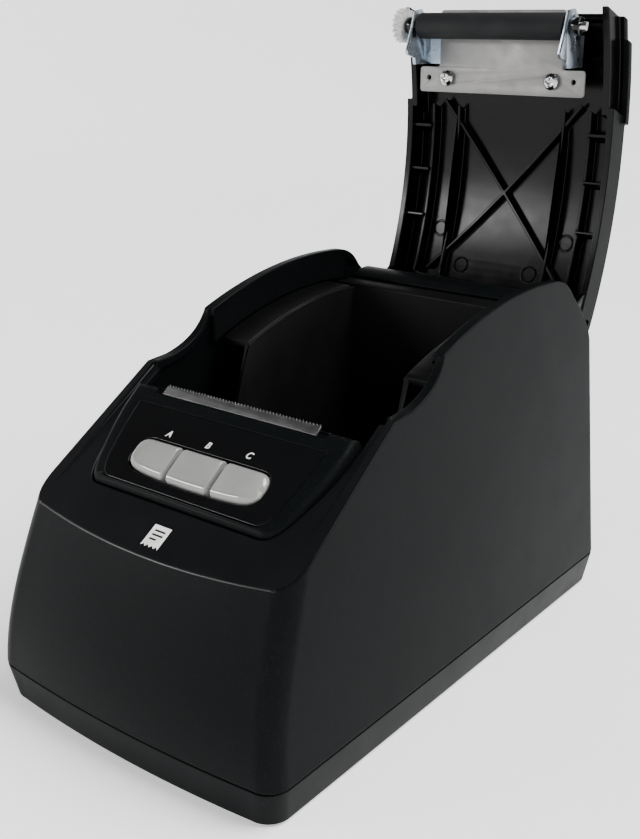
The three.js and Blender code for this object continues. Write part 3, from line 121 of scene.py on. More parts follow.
CROWN_DROP = HEIGHT - KINK_Z - (ARC_START_Y - KINK_Y) * EDGE_SLOPE
ARC_R = ((CROWN_Y - ARC_START_Y) ** 2 + CROWN_DROP**2) / (2 * CROWN_DROP)
ARC_Z = HEIGHT - ARC_R
SHOULDER_Y = BACK - 28
RIBS_END_Y = SHOULDER_Y - 8  # the ribs end and the ears begin here
LID_END = (BACK - 16.5, HEIGHT - 6.2)
LID_LIP = (LID_END[0] - 2, LID_END[1] - 1.6)  # inner edge of the lid's back end
SLOPE_TOP = (BACK - 15, HEIGHT - 8.2)
SLOPE_FOOT_Z = HEIGHT - 35.2
SCOOP_FRONT, SCOOP_BACK, SCOOP_DEPTH, SCOOP_LAND = -31.0, -5.4, 5.0, 8.0
HINGE_Y, HINGE_Z = BACK - 16.8, HEIGHT - 24.8
LID_OPEN = math.radians(110)
PIN_R, EAR_R, EAR_T = 2.0, 4.6, 2.3
LID_HALF, LID_SKIRT, RETURN_T = 42.0, 10.0, 2.0
SKIRT_INSET, WING_OUT, WING_T = 2.0, 1.4, 2.6
EAR_X = LID_HALF - WALL - SEAM
SLOT_FLOOR_Z = HINGE_Z - 7.1
COVER_R = 16.6
BEZEL_LAP = 1.2
PLATEN_Y, PLATEN_Z = -29.0, 74.4
POD_HALF, POD_LOW, POD_HIGH, POD_RISE, POD_SINK, POD_FLOOR = 42.0, 5.0, 38.0, 2.0, 4.0, -1.0
POD_TILT, POD_PIVOT_V, POD_CROWN = math.radians(4.5), 17.25, 2.4
POD_GAP = 0.3  # round the pod in the deck
LENS_HALF, LENS_LOW, LENS_HIGH, LENS_BED, LENS_T = 36.0, 7.6, 34.0, 0.8, 1.2
BLOCK_IN, BLOCK_HIGH, TEAR_N = 33.0, 41.0, 1.2
BUTTON_HALF, BUTTON_PITCH, BUTTON_LOW, BUTTON_HIGH = 8.0, 17.0, 11.5, 23.0
BUTTON_BASE, BUTTON_RISE, BUTTON_CROWN = -2.6, 3.4, 2.2
BUTTON_TRIM = 0.4  # taken off each side of a cap
BUTTON_TURN = 4.5  # how far from the row's ends its corners begin
LETTER_SIZE, LETTER_LEAN, LETTER_SWELL, PRINT_T = 3.0, 0.25, 0.06, 0.03
LETTER_SPOTS = {"A": (-17.1, 26.0), "B": (-1.6, 26.0), "C": (13.4, 26.6)}
SIGN_X, SIGN_V = 1.5, -4.6
SLIP_HALF, SLIP_LOW, SLIP_HIGH, SLIP_TEETH, TOOTH_H = 3.2, -3.6, 3.6, 4, 0.8
SLIP_ROWS = [(1.9, 2.0), (0.5, 2.0), (-0.9, 0.6)]  # height and right end of each printed line
ROW_START, ROW_HALF = -2.0, 0.3
EJECTOR_SPOTS = [(26.5, 36.0), (14.5, 49.0)]
EJECTOR_R, EJECTOR_WIDTH, EJECTOR_RISE = 2.9, 0.3, 0.12
RIB_T, RIB_FRONT, BRACE_X, BRACE_FRONT, BRACE_BACK = 1.2, -8.0, 28.0, -10.0, CROWN_Y + 4
INNER_RIB, OUTER_RIB, BRACE_DEPTH = (21.5, 3.5), (32.0, 4.5), 3.0  # x and depth of the long ribs
CROSS_RIB_YS, CROSS_RIB_DEPTH = (0.0, 15.5, 32.5), 6.0
BOSS_R, BOSS_BORE, BOSS_X, BOSS_Z, BOSS_BACK = 3.4, 1.8, 21.0, -18.0, 8.0
PIN_GAP = 0.3
REAR_COVER_TURNS = (math.radians(70), math.radians(118))
MERGE = 0.03  # corners closer than this are one
ROUND_ANGLE = 32  # edges sharper than this, in degrees, are rounded
FAR = 2 * WIDTH
ABOVE = HEIGHT + 20
OUTLINE_STEP = math.radians(1.2)
ROOF_STEPS = 40


def write_size():
    """The frame's own box, before anything is added to it."""
    low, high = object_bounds()
    return {"cad": [list(low), list(high)]}


size = write_size()


# ------------------------------------------------------------------ outlines
def arc(cx, cy, radius, start, end, steps=None):
    steps = steps or max(2, math.ceil(abs(end - start) / OUTLINE_STEP))
    turns = [start + (end - start) * i / steps for i in range(steps + 1)]
    return [(cx + radius * math.cos(t), cy + radius * math.sin(t)) for t in turns]


def bezier(*controls, steps=10):
    """Points on a Bezier curve of any degree, its start left out."""
    points = []
    for i in range(1, steps + 1):
        t = i / steps
        level = [Vector(p) for p in controls]
        while len(level) > 1:
            level = [a.lerp(b, t) for a, b in zip(level, level[1:])]
        points.append(tuple(level[0]))
    return points


def mirrored(half):
    """A closed outline from its right half, listed from the bottom middle to the top middle."""
    return half + [(-x, y) for x, y in reversed(half) if x > 1e-6]


def roof_z(y, drop=0.0):
    return ARC_Z + math.sqrt((ARC_R - drop) ** 2 - (y - CROWN_Y) ** 2)


def roof_angle(y, drop=0.0):
    return math.acos((y - CROWN_Y) / (ARC_R - drop))


def edge_z(y):
    return KINK_Z + (y - KINK_Y) * (DECK_SLOPE if y < KINK_Y else EDGE_SLOPE)


def roof_run(start):
    """The roof line from start back to the end of the shut lid."""
    run = arc(CROWN_Y, ARC_Z, ARC_R, roof_angle(start), roof_angle(SHOULDER_Y), ROOF_STEPS)
    turn = (LID_END[0] - 4, roof_z(SHOULDER_Y) - 0.6)
    return run + bezier(run[-1], turn, LID_END)


def scoop_run():
    foot = roof_z(SCOOP_FRONT)
    rise = roof_z(SCOOP_BACK) - SCOOP_DEPTH - foot
    land = (SCOOP_FRONT + SCOOP_LAND, foot + 0.5)
    return [land] + bezier(
        land,
        (SCOOP_FRONT + 2 * SCOOP_LAND, foot + 2),
        (SCOOP_BACK - 3, foot + rise * 0.7),
        (SCOOP_BACK, roof_z(SCOOP_BACK)),
        steps=14,
    )


def side_outline():
    back = bezier(SLOPE_TOP, (BACK - 3.2, HEIGHT - 18), (BACK, SLOPE_FOOT_Z), steps=16)
    return [
        (FRONT - 10, -10),
        (FRONT - 10, edge_z(FRONT - 10)),
        (KINK_Y, KINK_Z),
        (SCOOP_FRONT, roof_z(SCOOP_FRONT)),
        *scoop_run(),
        *roof_run(SCOOP_BACK)[1:],
        SLOPE_TOP,
        *back,
        (BACK + 10, SLOPE_FOOT_Z),
        (BACK + 10, -10),
    ]


def roof_band(start, end, top, bottom):
    """A band along the roof, from `top` to `bottom` below its outer line."""
    outer = arc(CROWN_Y, ARC_Z, ARC_R - top, roof_angle(start, top), roof_angle(end, top), ROOF_STEPS)
    turns = roof_angle(end, bottom), roof_angle(start, bottom)
    return outer + arc(CROWN_Y, ARC_Z, ARC_R - bottom, *turns, ROOF_STEPS)


# ------------------------------------------------------------------ solids
def solid(name, points, faces):
    mesh = bpy.data.meshes.new(name)
    mesh.from_pydata(points, [], faces)
    piece = bpy.data.objects.new(name, mesh)
    bpy.context.scene.collection.objects.link(piece)
    return outward(piece)


def outward(piece):
    edit = bmesh.new()
    edit.from_mesh(piece.data)
    bmesh.ops.recalc_face_normals(edit, faces=edit.faces)
    edit.to_mesh(piece.data)
    edit.free()
    return piece


def loft(sections):
    """The closed skin through sections, each a list of (x, y) and a height, with equal numbers of points."""
    count = len(sections[0][0])
    points = [(x, y, z) for outline, z in sections for x, y in outline]
    faces = [list(range(count)), list(range(len(points) - count, len(points)))]
    for level in range(len(sections) - 1):
        for i in range(count):
            a = level * count + i
            b = level * count + (i + 1) % count
            faces.append([a, b, b + count, a + count])
    return solid("loft", points, faces)


PRISM_AXES = {
    "x": lambda a, b, t: (t, a, b),
    "y": lambda a, b, t: (a, t, b),
    "z": lambda a, b, t: (a, b, t),
}


def prism(axis, outline, low, high):
    """An outline given as (y, z) along x, (x, z) along y or (x, y) along z."""
    at = PRISM_AXES[axis]
    count = len(outline)
    points = [at(a, b, t) for t in (low, high) for a, b in outline]
    sides = [[i, (i + 1) % count, (i + 1) % count + count, i + count] for i in range(count)]
    return solid("prism", points, [list(range(count)), list(range(count, 2 * count)), *sides])


def block(x0, x1, y0, y1, z0, z1):
    return prism("z", [(x0, y0), (x1, y0), (x1, y1), (x0, y1)], z0, z1)


def side_block(side, near, far, y0, y1, z0, z1):
    return block(*sorted((side * near, side * far)), y0, y1, z0, z1)


def side_prism(side, outline, near, far):
    return prism("x", outline, *sorted((side * near, side * far)))


def rod(axis, radius, low, high, a, b, steps=32):
    return prism(axis, arc(a, b, radius, 0, 2 * math.pi, steps)[:-1], low, high)


def baked(piece):
    """The piece with its modifiers turned into mesh."""
    graph = bpy.context.evaluated_depsgraph_get()
    mesh = bpy.data.meshes.new_from_object(piece.evaluated_get(graph))
    piece.modifiers.clear()
    piece.data = mesh
    return piece


def combine(piece, others, operation):
    for other in others:
        step = piece.modifiers.new("combine", "BOOLEAN")
        step.operation = operation
        step.solver = "EXACT"
        step.object = other
        baked(piece)
        bpy.data.objects.remove(other)
    return piece


def meet(piece, *others):
    return combine(piece, others, "INTERSECT")


def cut(piece, *others):
    return combine(piece, others, "DIFFERENCE")


def join(piece, *others):
    return combine(piece, others, "UNION")


def moved(piece, matrix):
    piece.data.transform(matrix)
    return piece


def tidy_mesh(piece):
    """Merges the slivers that the cuts leave, before edges are rounded."""
    edit = bmesh.new()
    edit.from_mesh(piece.data)
    bmesh.ops.remove_doubles(edit, verts=edit.verts, dist=MERGE)
    bmesh.ops.dissolve_degenerate(edit, edges=edit.edges, dist=MERGE)
    bmesh.ops.dissolve_limit(
        edit, angle_limit=math.radians(0.2), verts=edit.verts, edges=edit.edges, delimit={"NORMAL"}
    )
    edit.to_mesh(piece.data)
    edit.free()
    return piece


def finish_piece(piece, name, matrix=Matrix.Identity(4), edge=0.35, segments=3):
    """Rounds a piece's sharp edges, scales it to metres and puts it in the row frame."""
    tidy_mesh(piece)
    moved(piece, Matrix.Translation(SHIFT) @ Matrix.Scale(MM, 4) @ matrix)
    soften(piece, edge * MM, segments)
    baked(piece)
    piece.name = name
    return piece


def soften(piece, width, segments=2):
    bevel = piece.modifiers.new("rounded edges", "BEVEL")
    bevel.width = width
    bevel.segments = segments
    bevel.limit_method = "ANGLE"
    bevel.angle_limit = math.radians(ROUND_ANGLE)
    bevel.use_clamp_overlap = False
    bevel.miter_outer = "MITER_ARC"
    bevel.harden_normals = True
    for face in piece.data.polygons:
        face.use_smooth = True


# ------------------------------------------------------------------ outer form
def half_width(z):
    if z < FOOT_LINE:
        return WIDTH / 2 - FOOT_TAPER * (1 - z / FOOT_LINE)
    return WIDTH / 2 - (z - FOOT_LINE) * SIDE_LEAN


CREASE_LOW, CREASE_HIGH = 59.5, 66.5  # the deck's front crease lies between these, so no row crosses it


def form_levels():
    leaning = bezier(
        (FRONT, FOOT_LINE),
        (FRONT + 0.2, FOOT_LINE + 20),
        (FRONT + 7.5, FOOT_LINE + 36),
        (FRONT + 24, FOOT_LINE + 76),
        steps=40,
    )
    top = leaning[-1]
    leaning = [(front, z) for front, z in leaning if not CREASE_LOW < z < CREASE_HIGH]
    beyond = HEIGHT + 6
    return [
        (FRONT + FOOT_TAPER, 0.0),
        (FRONT, FOOT_LINE),
        *leaning,
        (top[0] + (beyond - top[1]) * 0.5, beyond),
    ]


def section(front, z, inward):
    half = half_width(z) - inward
    taper = FOOT_TAPER * max(0.0, 1 - z / FOOT_LINE)
    back = BACK - taper - inward
    bow_end = half - FRONT_CORNER

    def bow_y(x):
        return front + inward + FRONT_BOW * (x / bow_end) ** 2

    corner_y = bow_y(bow_end) + FRONT_CORNER
    bow = [(bow_end * t / 12, bow_y(bow_end * t / 12)) for t in range(-11, 12)]
    quarter = math.pi / 2
    return [
        *arc(-bow_end, corner_y, FRONT_CORNER, 2 * quarter, 3 * quarter, 16),
        *bow,
        *arc(bow_end, corner_y, FRONT_CORNER, 3 * quarter, 4 * quarter, 16),
        *arc(half - BACK_CORNER, back - BACK_CORNER, BACK_CORNER, 0, quarter, 12),
        *arc(BACK_CORNER - half, back - BACK_CORNER, BACK_CORNER, quarter, 2 * quarter, 12),
    ]


def outer_form(inward=0.0):
    return loft([(section(front, z, inward), z) for front, z in form_levels()])


# ------------------------------------------------------------------ body shell
def above_deck(sink, back):
    """Everything above the deck's slope, lowered by `sink`, as far back as `back`."""
    front = FRONT - 20
    low = [(y, KINK_Z + (y - KINK_Y) * DECK_SLOPE - sink) for y in (front, back)]
    return [*low, (back, ABOVE), (front, ABOVE)]


DECK_FRAME = Matrix.Translation((0, KINK_Y, KINK_Z)) @ Matrix.Rotation(DECK_ANGLE, 4, "X")
POD_FRAME = (
    DECK_FRAME
    @ Matrix.Translation((0, POD_PIVOT_V, POD_RISE))
    @ Matrix.Rotation(POD_TILT, 4, "X")
    @ Matrix.Translation((0, -POD_PIVOT_V, -POD_RISE))
)


def profile(dy=0.0, dz=0.0):
    return prism("x", [(y + dy, z + dz) for y, z in side_outline()], -FAR, FAR)


def shell_skin():
    deck_back = SCOOP_FRONT + 1
    skin = meet(outer_form(), profile(), block(-FAR, FAR, -FAR, FAR, FOOT_LINE, FAR))
    cut(skin, prism("x", above_deck(0, deck_back), -DECK_HALF, DECK_HALF))
    hollow = meet(outer_form(WALL), profile(dz=-SLOPE_WALL), profile(dy=-SLOPE_WALL))
    cut(hollow, prism("x", above_deck(SLOPE_WALL, deck_back + WALL), -DECK_HALF - WALL, DECK_HALF + WALL))
    return cut(skin, hollow)


def lid_opening():
    mouth = block(-LID_HALF - FIT, LID_HALF + FIT, DECK_END_Y, SLOPE_TOP[0] + 1, KINK_Z, ABOVE)
    return cut(mouth, rod("x", COVER_R, -FAR, FAR, HINGE_Y, HINGE_Z, 96))


def within_skin():
    """Solids that keep inside walls a little below the outer skin."""
    return outer_form(0.5), profile(-0.6, -0.6)


def inside_walls():
    """The cheeks that hold the hinge pins and the walls that hang beside the lid."""
    near = LID_HALF + FIT
    walls = []
    for side in (-1, 1):
        cheek = rod("x", EAR_R + 2, *sorted((side * near, side * (near + RETURN_T))), HINGE_Y, HINGE_Z)
        web = side_block(
            side, near, near + RETURN_T, HINGE_Y - EAR_R - 2, HINGE_Y + EAR_R, HINGE_Z, HINGE_Z + 16
        )
        band = roof_band(SCOOP_BACK + FIT, SHOULDER_Y + 4, WALL - 0.5, LID_SKIRT + 1)
        walls.append(join(cheek, web, side_prism(side, band, near, near + RETURN_T)))
    return meet(join(*walls), *within_skin())


def rear_cover():
    start, end = REAR_COVER_TURNS
    outer = arc(HINGE_Y, HINGE_Z, COVER_R, start, end, 24)
    inner = arc(HINGE_Y, HINGE_Z, COVER_R - WALL, end, start, 24)
    half = EAR_X - FIT
    return meet(prism("x", outer + inner, -half, half), *within_skin())


def rear_windows():
    """Openings in the back wall round each socket and the switch, from the boxes of those pieces."""
    windows = []
    room_round = {"lan_jack": FIT, "usb_jack": FIT, "power_jack": FIT, "switch_bezel": -BEZEL_LAP}
    for node, room in room_round.items():
        low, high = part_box(node)
        x0, x1 = low.x / MM - room, high.x / MM + room
        z0, z1 = low.z / MM - room, high.z / MM + room
        windows.append(block(x0, x1, BACK - WALL - 1, BACK + 1, z0, z1))
    return windows


def body_shell():
    shell = join(shell_skin(), inside_walls(), rear_cover())
    pod_hole = moved(prism("z", pod_outline(POD_GAP), -POD_SINK - 3, 20), POD_FRAME)
    lid_side = LID_HALF + FIT
    well = (half_width(roof_z(SCOOP_BACK)) - WALL, SCOOP_FRONT + SEAM, SCOOP_BACK + SEAM, KINK_Z, FAR)
    wells = [side_block(side, lid_side, *well) for side in (-1, 1)]
    slot = (lid_side, HINGE_Y - 10, BACK + 10, SLOT_FLOOR_Z, FAR)
    slots = [side_block(side, EAR_X - FIT, *slot) for side in (-1, 1)]
    cut(shell, lid_opening(), pod_hole, *wells, *slots, *rear_windows())
    return finish_piece(shell, "body_shell_skin", edge=0.5)


def base_tray():
    top = FOOT_LINE - SEAM
    tray = meet(outer_form(), block(-FAR, FAR, -FAR, FAR, FLOOR_Z, top))
    cut(tray, meet(outer_form(WALL), block(-FAR, FAR, -FAR, FAR, FLOOR_Z + FLOOR_T, FAR)))
    return finish_piece(tray, "base_tray_skin", edge=0.4)


# ------------------------------------------------------------------ pod, lens, buttons, in the pod's frame
def pod_outline(grow=0.0):
    half, low, foot = POD_HALF + grow, POD_LOW - grow, POD_HALF - 11
    corner = bezier((foot, low), (foot + 5, low), (half - 4.5, low + 7), (half - 2.4, low + 15), steps=20)
    flank = bezier(corner[-1], (half, low + 24), (half, POD_HIGH + grow), steps=12)
    high = BLOCK_HIGH + grow
    return mirrored([(0, low), (foot, low), *corner, *flank, (half, high), (0, high)])


def lens_outline(grow=0.0):
    half, low, high, foot = LENS_HALF + grow, LENS_LOW - grow, LENS_HIGH + grow, LENS_HALF - 8
    corner = bezier((foot, low), (foot + 4, low), (half - 3, low + 6), (half - 1.5, low + 14), steps=20)
    return mirrored([(0, low), (foot, low), *corner, (half, high), (0, high)])


def button_row_outline():
    half = BUTTON_PITCH + BUTTON_HALF
    low, high = BUTTON_LOW, BUTTON_HIGH
    middle, side = (0, low - 0.25), (half, high - BUTTON_TURN)
    foot = bezier(middle, (half - 8, low), (half - BUTTON_TURN, low + 0.9), steps=10)
    turn = bezier(foot[-1], (half, low + 1.6), (half, low + 6), steps=8)
    top = bezier(side, (half, high), (half - BUTTON_TURN, high), steps=8)
    return mirrored([middle, *foot, *turn, side, *top, (0, high)])


def inset(outline, distance):
    """An anticlockwise outline drawn in by a distance, with mitred corners."""
    points = [Vector(p) for p in outline]
    drawn = []
    for before, here, after in zip(points[-1:] + points[:-1], points, points[1:] + points[:1]):
        first, second = (here - before).normalized(), (after - here).normalized()
        inward = Vector((-first.y - second.y, first.x + second.x))
        drawn.append(tuple(here + inward * (distance * 2 / inward.length_squared)))
    return drawn


def dome(outline, base, top, crown, steps=6):
    """A cap whose upper edge turns in over `crown`."""
    sections = [(outline, base), (outline, top - crown)]
    for i in range(1, steps + 1):
        turn = math.pi / 2 * i / steps
        height = top - crown + crown * math.sin(turn)
        sections.append((inset(outline, crown * (1 - math.cos(turn))), height))
    return loft(sections)


def front_fascia():
    pod = dome(pod_outline(), -POD_SINK, POD_RISE, POD_CROWN)
    below, above = -POD_SINK - 1, POD_RISE + 1
    notch = block(-BLOCK_IN, BLOCK_IN, POD_HIGH, BLOCK_HIGH + 2, TEAR_N - SEAM, above)
    past = BLOCK_HIGH + 1
    under_lid = prism("x", [(past - 4, below), (past, below), (past, below + 4)], -FAR, FAR)
    cut(
        pod,
        prism("z", pod_outline(-WALL), below, POD_FLOOR),
        prism("z", lens_outline(SEAM / 2), LENS_BED - SEAM, above),
        prism("z", inset(button_row_outline(), -FIT), below, above),
        notch,
        under_lid,
    )
    return finish_piece(pod, "front_fascia_skin", POD_FRAME, edge=0.3)


def control_lens():
    lens = cut(
        prism("z", lens_outline(), LENS_BED, LENS_BED + LENS_T),
        prism("z", inset(button_row_outline(), -FIT), LENS_BED - 1, LENS_BED + LENS_T + 1),
    )
    return finish_piece(lens, "control_lens_skin", POD_FRAME, edge=0.25)


def button(index):
    """One third of a pillow-topped row, cut apart by narrow gaps."""
    x = index * BUTTON_PITCH
    half = BUTTON_HALF - BUTTON_TRIM
    row = dome(button_row_outline(), BUTTON_BASE, BUTTON_RISE, BUTTON_CROWN, steps=8)
    cap = meet(row, block(x - half, x + half, 0, POD_HIGH, BUTTON_BASE - 1, FAR))
    return finish_piece(cap, f"button_{'abc'[index + 1]}_cap", POD_FRAME, edge=0.5, segments=4)


def raised_text(letter, x, v):
    """A letter printed thickly on the lens, leaning a little as signwriting does."""
    curve = bpy.data.curves.new("letter", "FONT")
    curve.body = letter
    curve.size = LETTER_SIZE
    curve.shear = LETTER_LEAN
    curve.offset = LETTER_SWELL
    curve.extrude = PRINT_T
    curve.align_x = curve.align_y = "CENTER"
    text = bpy.data.objects.new("letter", curve)
    bpy.context.scene.collection.objects.link(text)
    bpy.context.view_layer.update()
    mesh = bpy.data.meshes.new_from_object(text.evaluated_get(bpy.context.evaluated_depsgraph_get()))
    bpy.data.objects.remove(text)
    mark = bpy.data.objects.new(f"mark_{letter.lower()}", mesh)
    bpy.context.scene.collection.objects.link(mark)
    place = Matrix.Translation((x, v, LENS_BED + LENS_T))
    return moved(mark, Matrix.Translation(SHIFT) @ Matrix.Scale(MM, 4) @ POD_FRAME @ place)


def receipt_sign():
    """A plain receipt pictogram on the deck: a torn slip with three lines of print."""
    half, step = SLIP_HALF, 2 * SLIP_HALF / SLIP_TEETH
    foot = []
    for i in range(SLIP_TEETH):
        foot += [(-half + i * step, SLIP_LOW), (-half + (i + 0.5) * step, SLIP_LOW + TOOTH_H)]
    outline = [*foot, (half, SLIP_LOW), (half, SLIP_HIGH), (-half, SLIP_HIGH)]
    slip = prism("z", outline, -PRINT_T, PRINT_T)
    cut(slip, *[block(ROW_START, end, v - ROW_HALF, v + ROW_HALF, -1, 1) for v, end in SLIP_ROWS])
    place = Matrix.Translation((SIGN_X, SIGN_V, 0))
    slip = moved(slip, Matrix.Translation(SHIFT) @ Matrix.Scale(MM, 4) @ DECK_FRAME @ place)
    slip.name = "receipt_sign"
    return slip


# ------------------------------------------------------------------ lid, made shut and turned open
SHUT_TO_OPEN = (
    Matrix.Translation((0, HINGE_Y, HINGE_Z))
    @ Matrix.Rotation(-LID_OPEN, 4, "X")
    @ Matrix.Translation((0, -HINGE_Y, -HINGE_Z))
)
BRACKET_TO_SHUT = Matrix.Translation((0, PLATEN_Y, PLATEN_Z)) @ Matrix.Rotation(LID_OPEN, 4, "X")


def lid_envelope(drop=0.0):
    low = KINK_Z - 10
    outline = [(LID_TIP_Y, low), *roof_run(LID_TIP_Y), LID_LIP, (LID_LIP[0], low)]
    return prism("x", [(y, z - drop) for y, z in outline], -FAR, FAR)


def lid_roof():
    inner_turn = (LID_END[0] - 5.5, roof_z(SHOULDER_Y, WALL) - 0.6)
    turns = roof_angle(SHOULDER_Y, WALL), roof_angle(LID_TIP_Y, WALL)
    inner = arc(CROWN_Y, ARC_Z, ARC_R - WALL, *turns, ROOF_STEPS)
    outline = [*roof_run(LID_TIP_Y), LID_LIP, *bezier(LID_LIP, inner_turn, inner[0]), *inner[1:]]
    return prism("x", outline, -LID_HALF, LID_HALF)


def lid_ear(side):
    outline = [
        (RIBS_END_Y, roof_z(SHOULDER_Y, LID_SKIRT)),
        *arc(HINGE_Y, HINGE_Z, EAR_R, math.pi, 2 * math.pi, 24),
        (LID_END[0] - 2.2, LID_END[1] - 2),
        (RIBS_END_Y, roof_z(SHOULDER_Y, 1)),
    ]
    ear = meet(side_prism(side, outline, EAR_X, EAR_X + EAR_T), lid_envelope())
    return cut(ear, rod("x", PIN_R + PIN_GAP, -FAR, FAR, HINGE_Y, HINGE_Z))


def lid_wing(side):
    rim = roof_band(SCOOP_FRONT + FIT, SCOOP_BACK - FIT, 0, WING_T)
    return side_prism(side, rim, LID_HALF - 1, LID_HALF + WING_OUT)


def lid_wall(side):
    """Flush with the lid's edge behind the scoop, and set in from it beside the scoop."""
    grip = SCOOP_BACK - FIT
    near = LID_HALF - WALL
    flush = side_prism(side, roof_band(grip - WALL, SHOULDER_Y, 1, LID_SKIRT), near, LID_HALF)
    front_band = roof_band(LID_TIP_Y, grip, 1, LID_SKIRT)
    set_in = side_prism(side, front_band, near - SKIRT_INSET, LID_HALF - SKIRT_INSET)
    return join(flush, set_in)


def lid_rib(start, end, depth):
    """A straight rib between two plan points, hanging `depth` from the roof."""
    start, end = Vector(start), Vector(end)
    along = end - start
    across = Vector((-along.y, along.x)).normalized() * (RIB_T / 2)
    corners = [start - across, end - across, end + across, start + across]
    bar = prism("z", [tuple(c) for c in corners], KINK_Z, HEIGHT + 10)
    band = roof_band(LID_TIP_Y + 1, SHOULDER_Y - 0.5, WALL - 0.6, WALL + depth)
    return meet(bar, prism("x", band, -LID_HALF, LID_HALF))


def lid_ribs():
    ribs = []
    for side in (-1, 1):
        for x, depth in (INNER_RIB, OUTER_RIB):
            ribs.append(lid_rib((side * x, RIB_FRONT), (side * x, RIBS_END_Y), depth))
        ribs.append(lid_rib((-side * BRACE_X, BRACE_FRONT), (side * BRACE_X, BRACE_BACK), BRACE_DEPTH))
        for y in CROSS_RIB_YS:
            ribs.append(lid_rib((side * OUTER_RIB[0], y), (side * (LID_HALF - 1), y), CROSS_RIB_DEPTH))
    return ribs


def ejector_ring(x, y):
    """The witness ring that an ejector pin leaves inside the moulding."""
    bore = rod("z", EJECTOR_R - EJECTOR_WIDTH, KINK_Z - 1, HEIGHT + 1, x, y)
    ring = cut(rod("z", EJECTOR_R, KINK_Z, HEIGHT, x, y), bore)
    band = roof_band(y - 4, y + 4, WALL - 0.3, WALL + EJECTOR_RISE)
    return meet(ring, prism("x", band, -LID_HALF, LID_HALF))


def bracket_boss(side):
    x = side * BOSS_X
    bore = rod("y", BOSS_BORE, BOSS_BACK - 1, BOSS_BACK + 11, x, BOSS_Z)
    boss = cut(rod("y", BOSS_R, BOSS_BACK, BOSS_BACK + 30, x, BOSS_Z), bore)
    return meet(moved(boss, BRACKET_TO_SHUT), lid_envelope(0.8))


def lid_shell():
    tip_half = LID_HALF - SKIRT_INSET - 1
    tip = prism("x", roof_band(LID_TIP_Y, LID_TIP_Y + 1.8, 1, 4.5), -tip_half, tip_half)
    lid = join(
        lid_roof(),
        tip,
        *[lid_wall(s) for s in (-1, 1)],
        *[lid_ear(s) for s in (-1, 1)],
        *[lid_wing(s) for s in (-1, 1)],
        *lid_ribs(),
        *[bracket_boss(s) for s in (-1, 1)],
        *[ejector_ring(s * x, y) for s in (-1, 1) for x, y in EJECTOR_SPOTS],
    )
    return finish_piece(lid, "lid_skin", SHUT_TO_OPEN, edge=0.4)


# ------------------------------------------------------------------ stand-ins for their CAD nodes
def stand_in(piece, node, body, slot):
    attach(piece, body)
    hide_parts(node)
    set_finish(piece, slot)


stand_in(body_shell(), "body_shell", "base", "satin_black")
stand_in(base_tray(), "base_tray", "base", "satin_black")
stand_in(front_fascia(), "front_fascia", "base", "satin_black")
stand_in(control_lens(), "control_lens", "base", "gloss_black")
for i, letter in enumerate("abc"):
    stand_in(button(i - 1), f"button_{letter}", f"key_{letter}", "silver_button")
stand_in(lid_shell(), "lid_shell", "lid", "satin_black")
for letter, spot in LETTER_SPOTS.items():
    mark = raised_text(letter, *spot)
    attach(mark, "base")
    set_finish(mark, "ribbon_white")
sign = receipt_sign()
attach(sign, "base")
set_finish(sign, "ribbon_white")


# ------------------------------------------------------------------ finishes
PEBBLE_GRAIN, ROLLED_GRAIN = 1400, 1600
ROLLED_ALONG = (0.02, 1, 1)  # rolled lines run along x


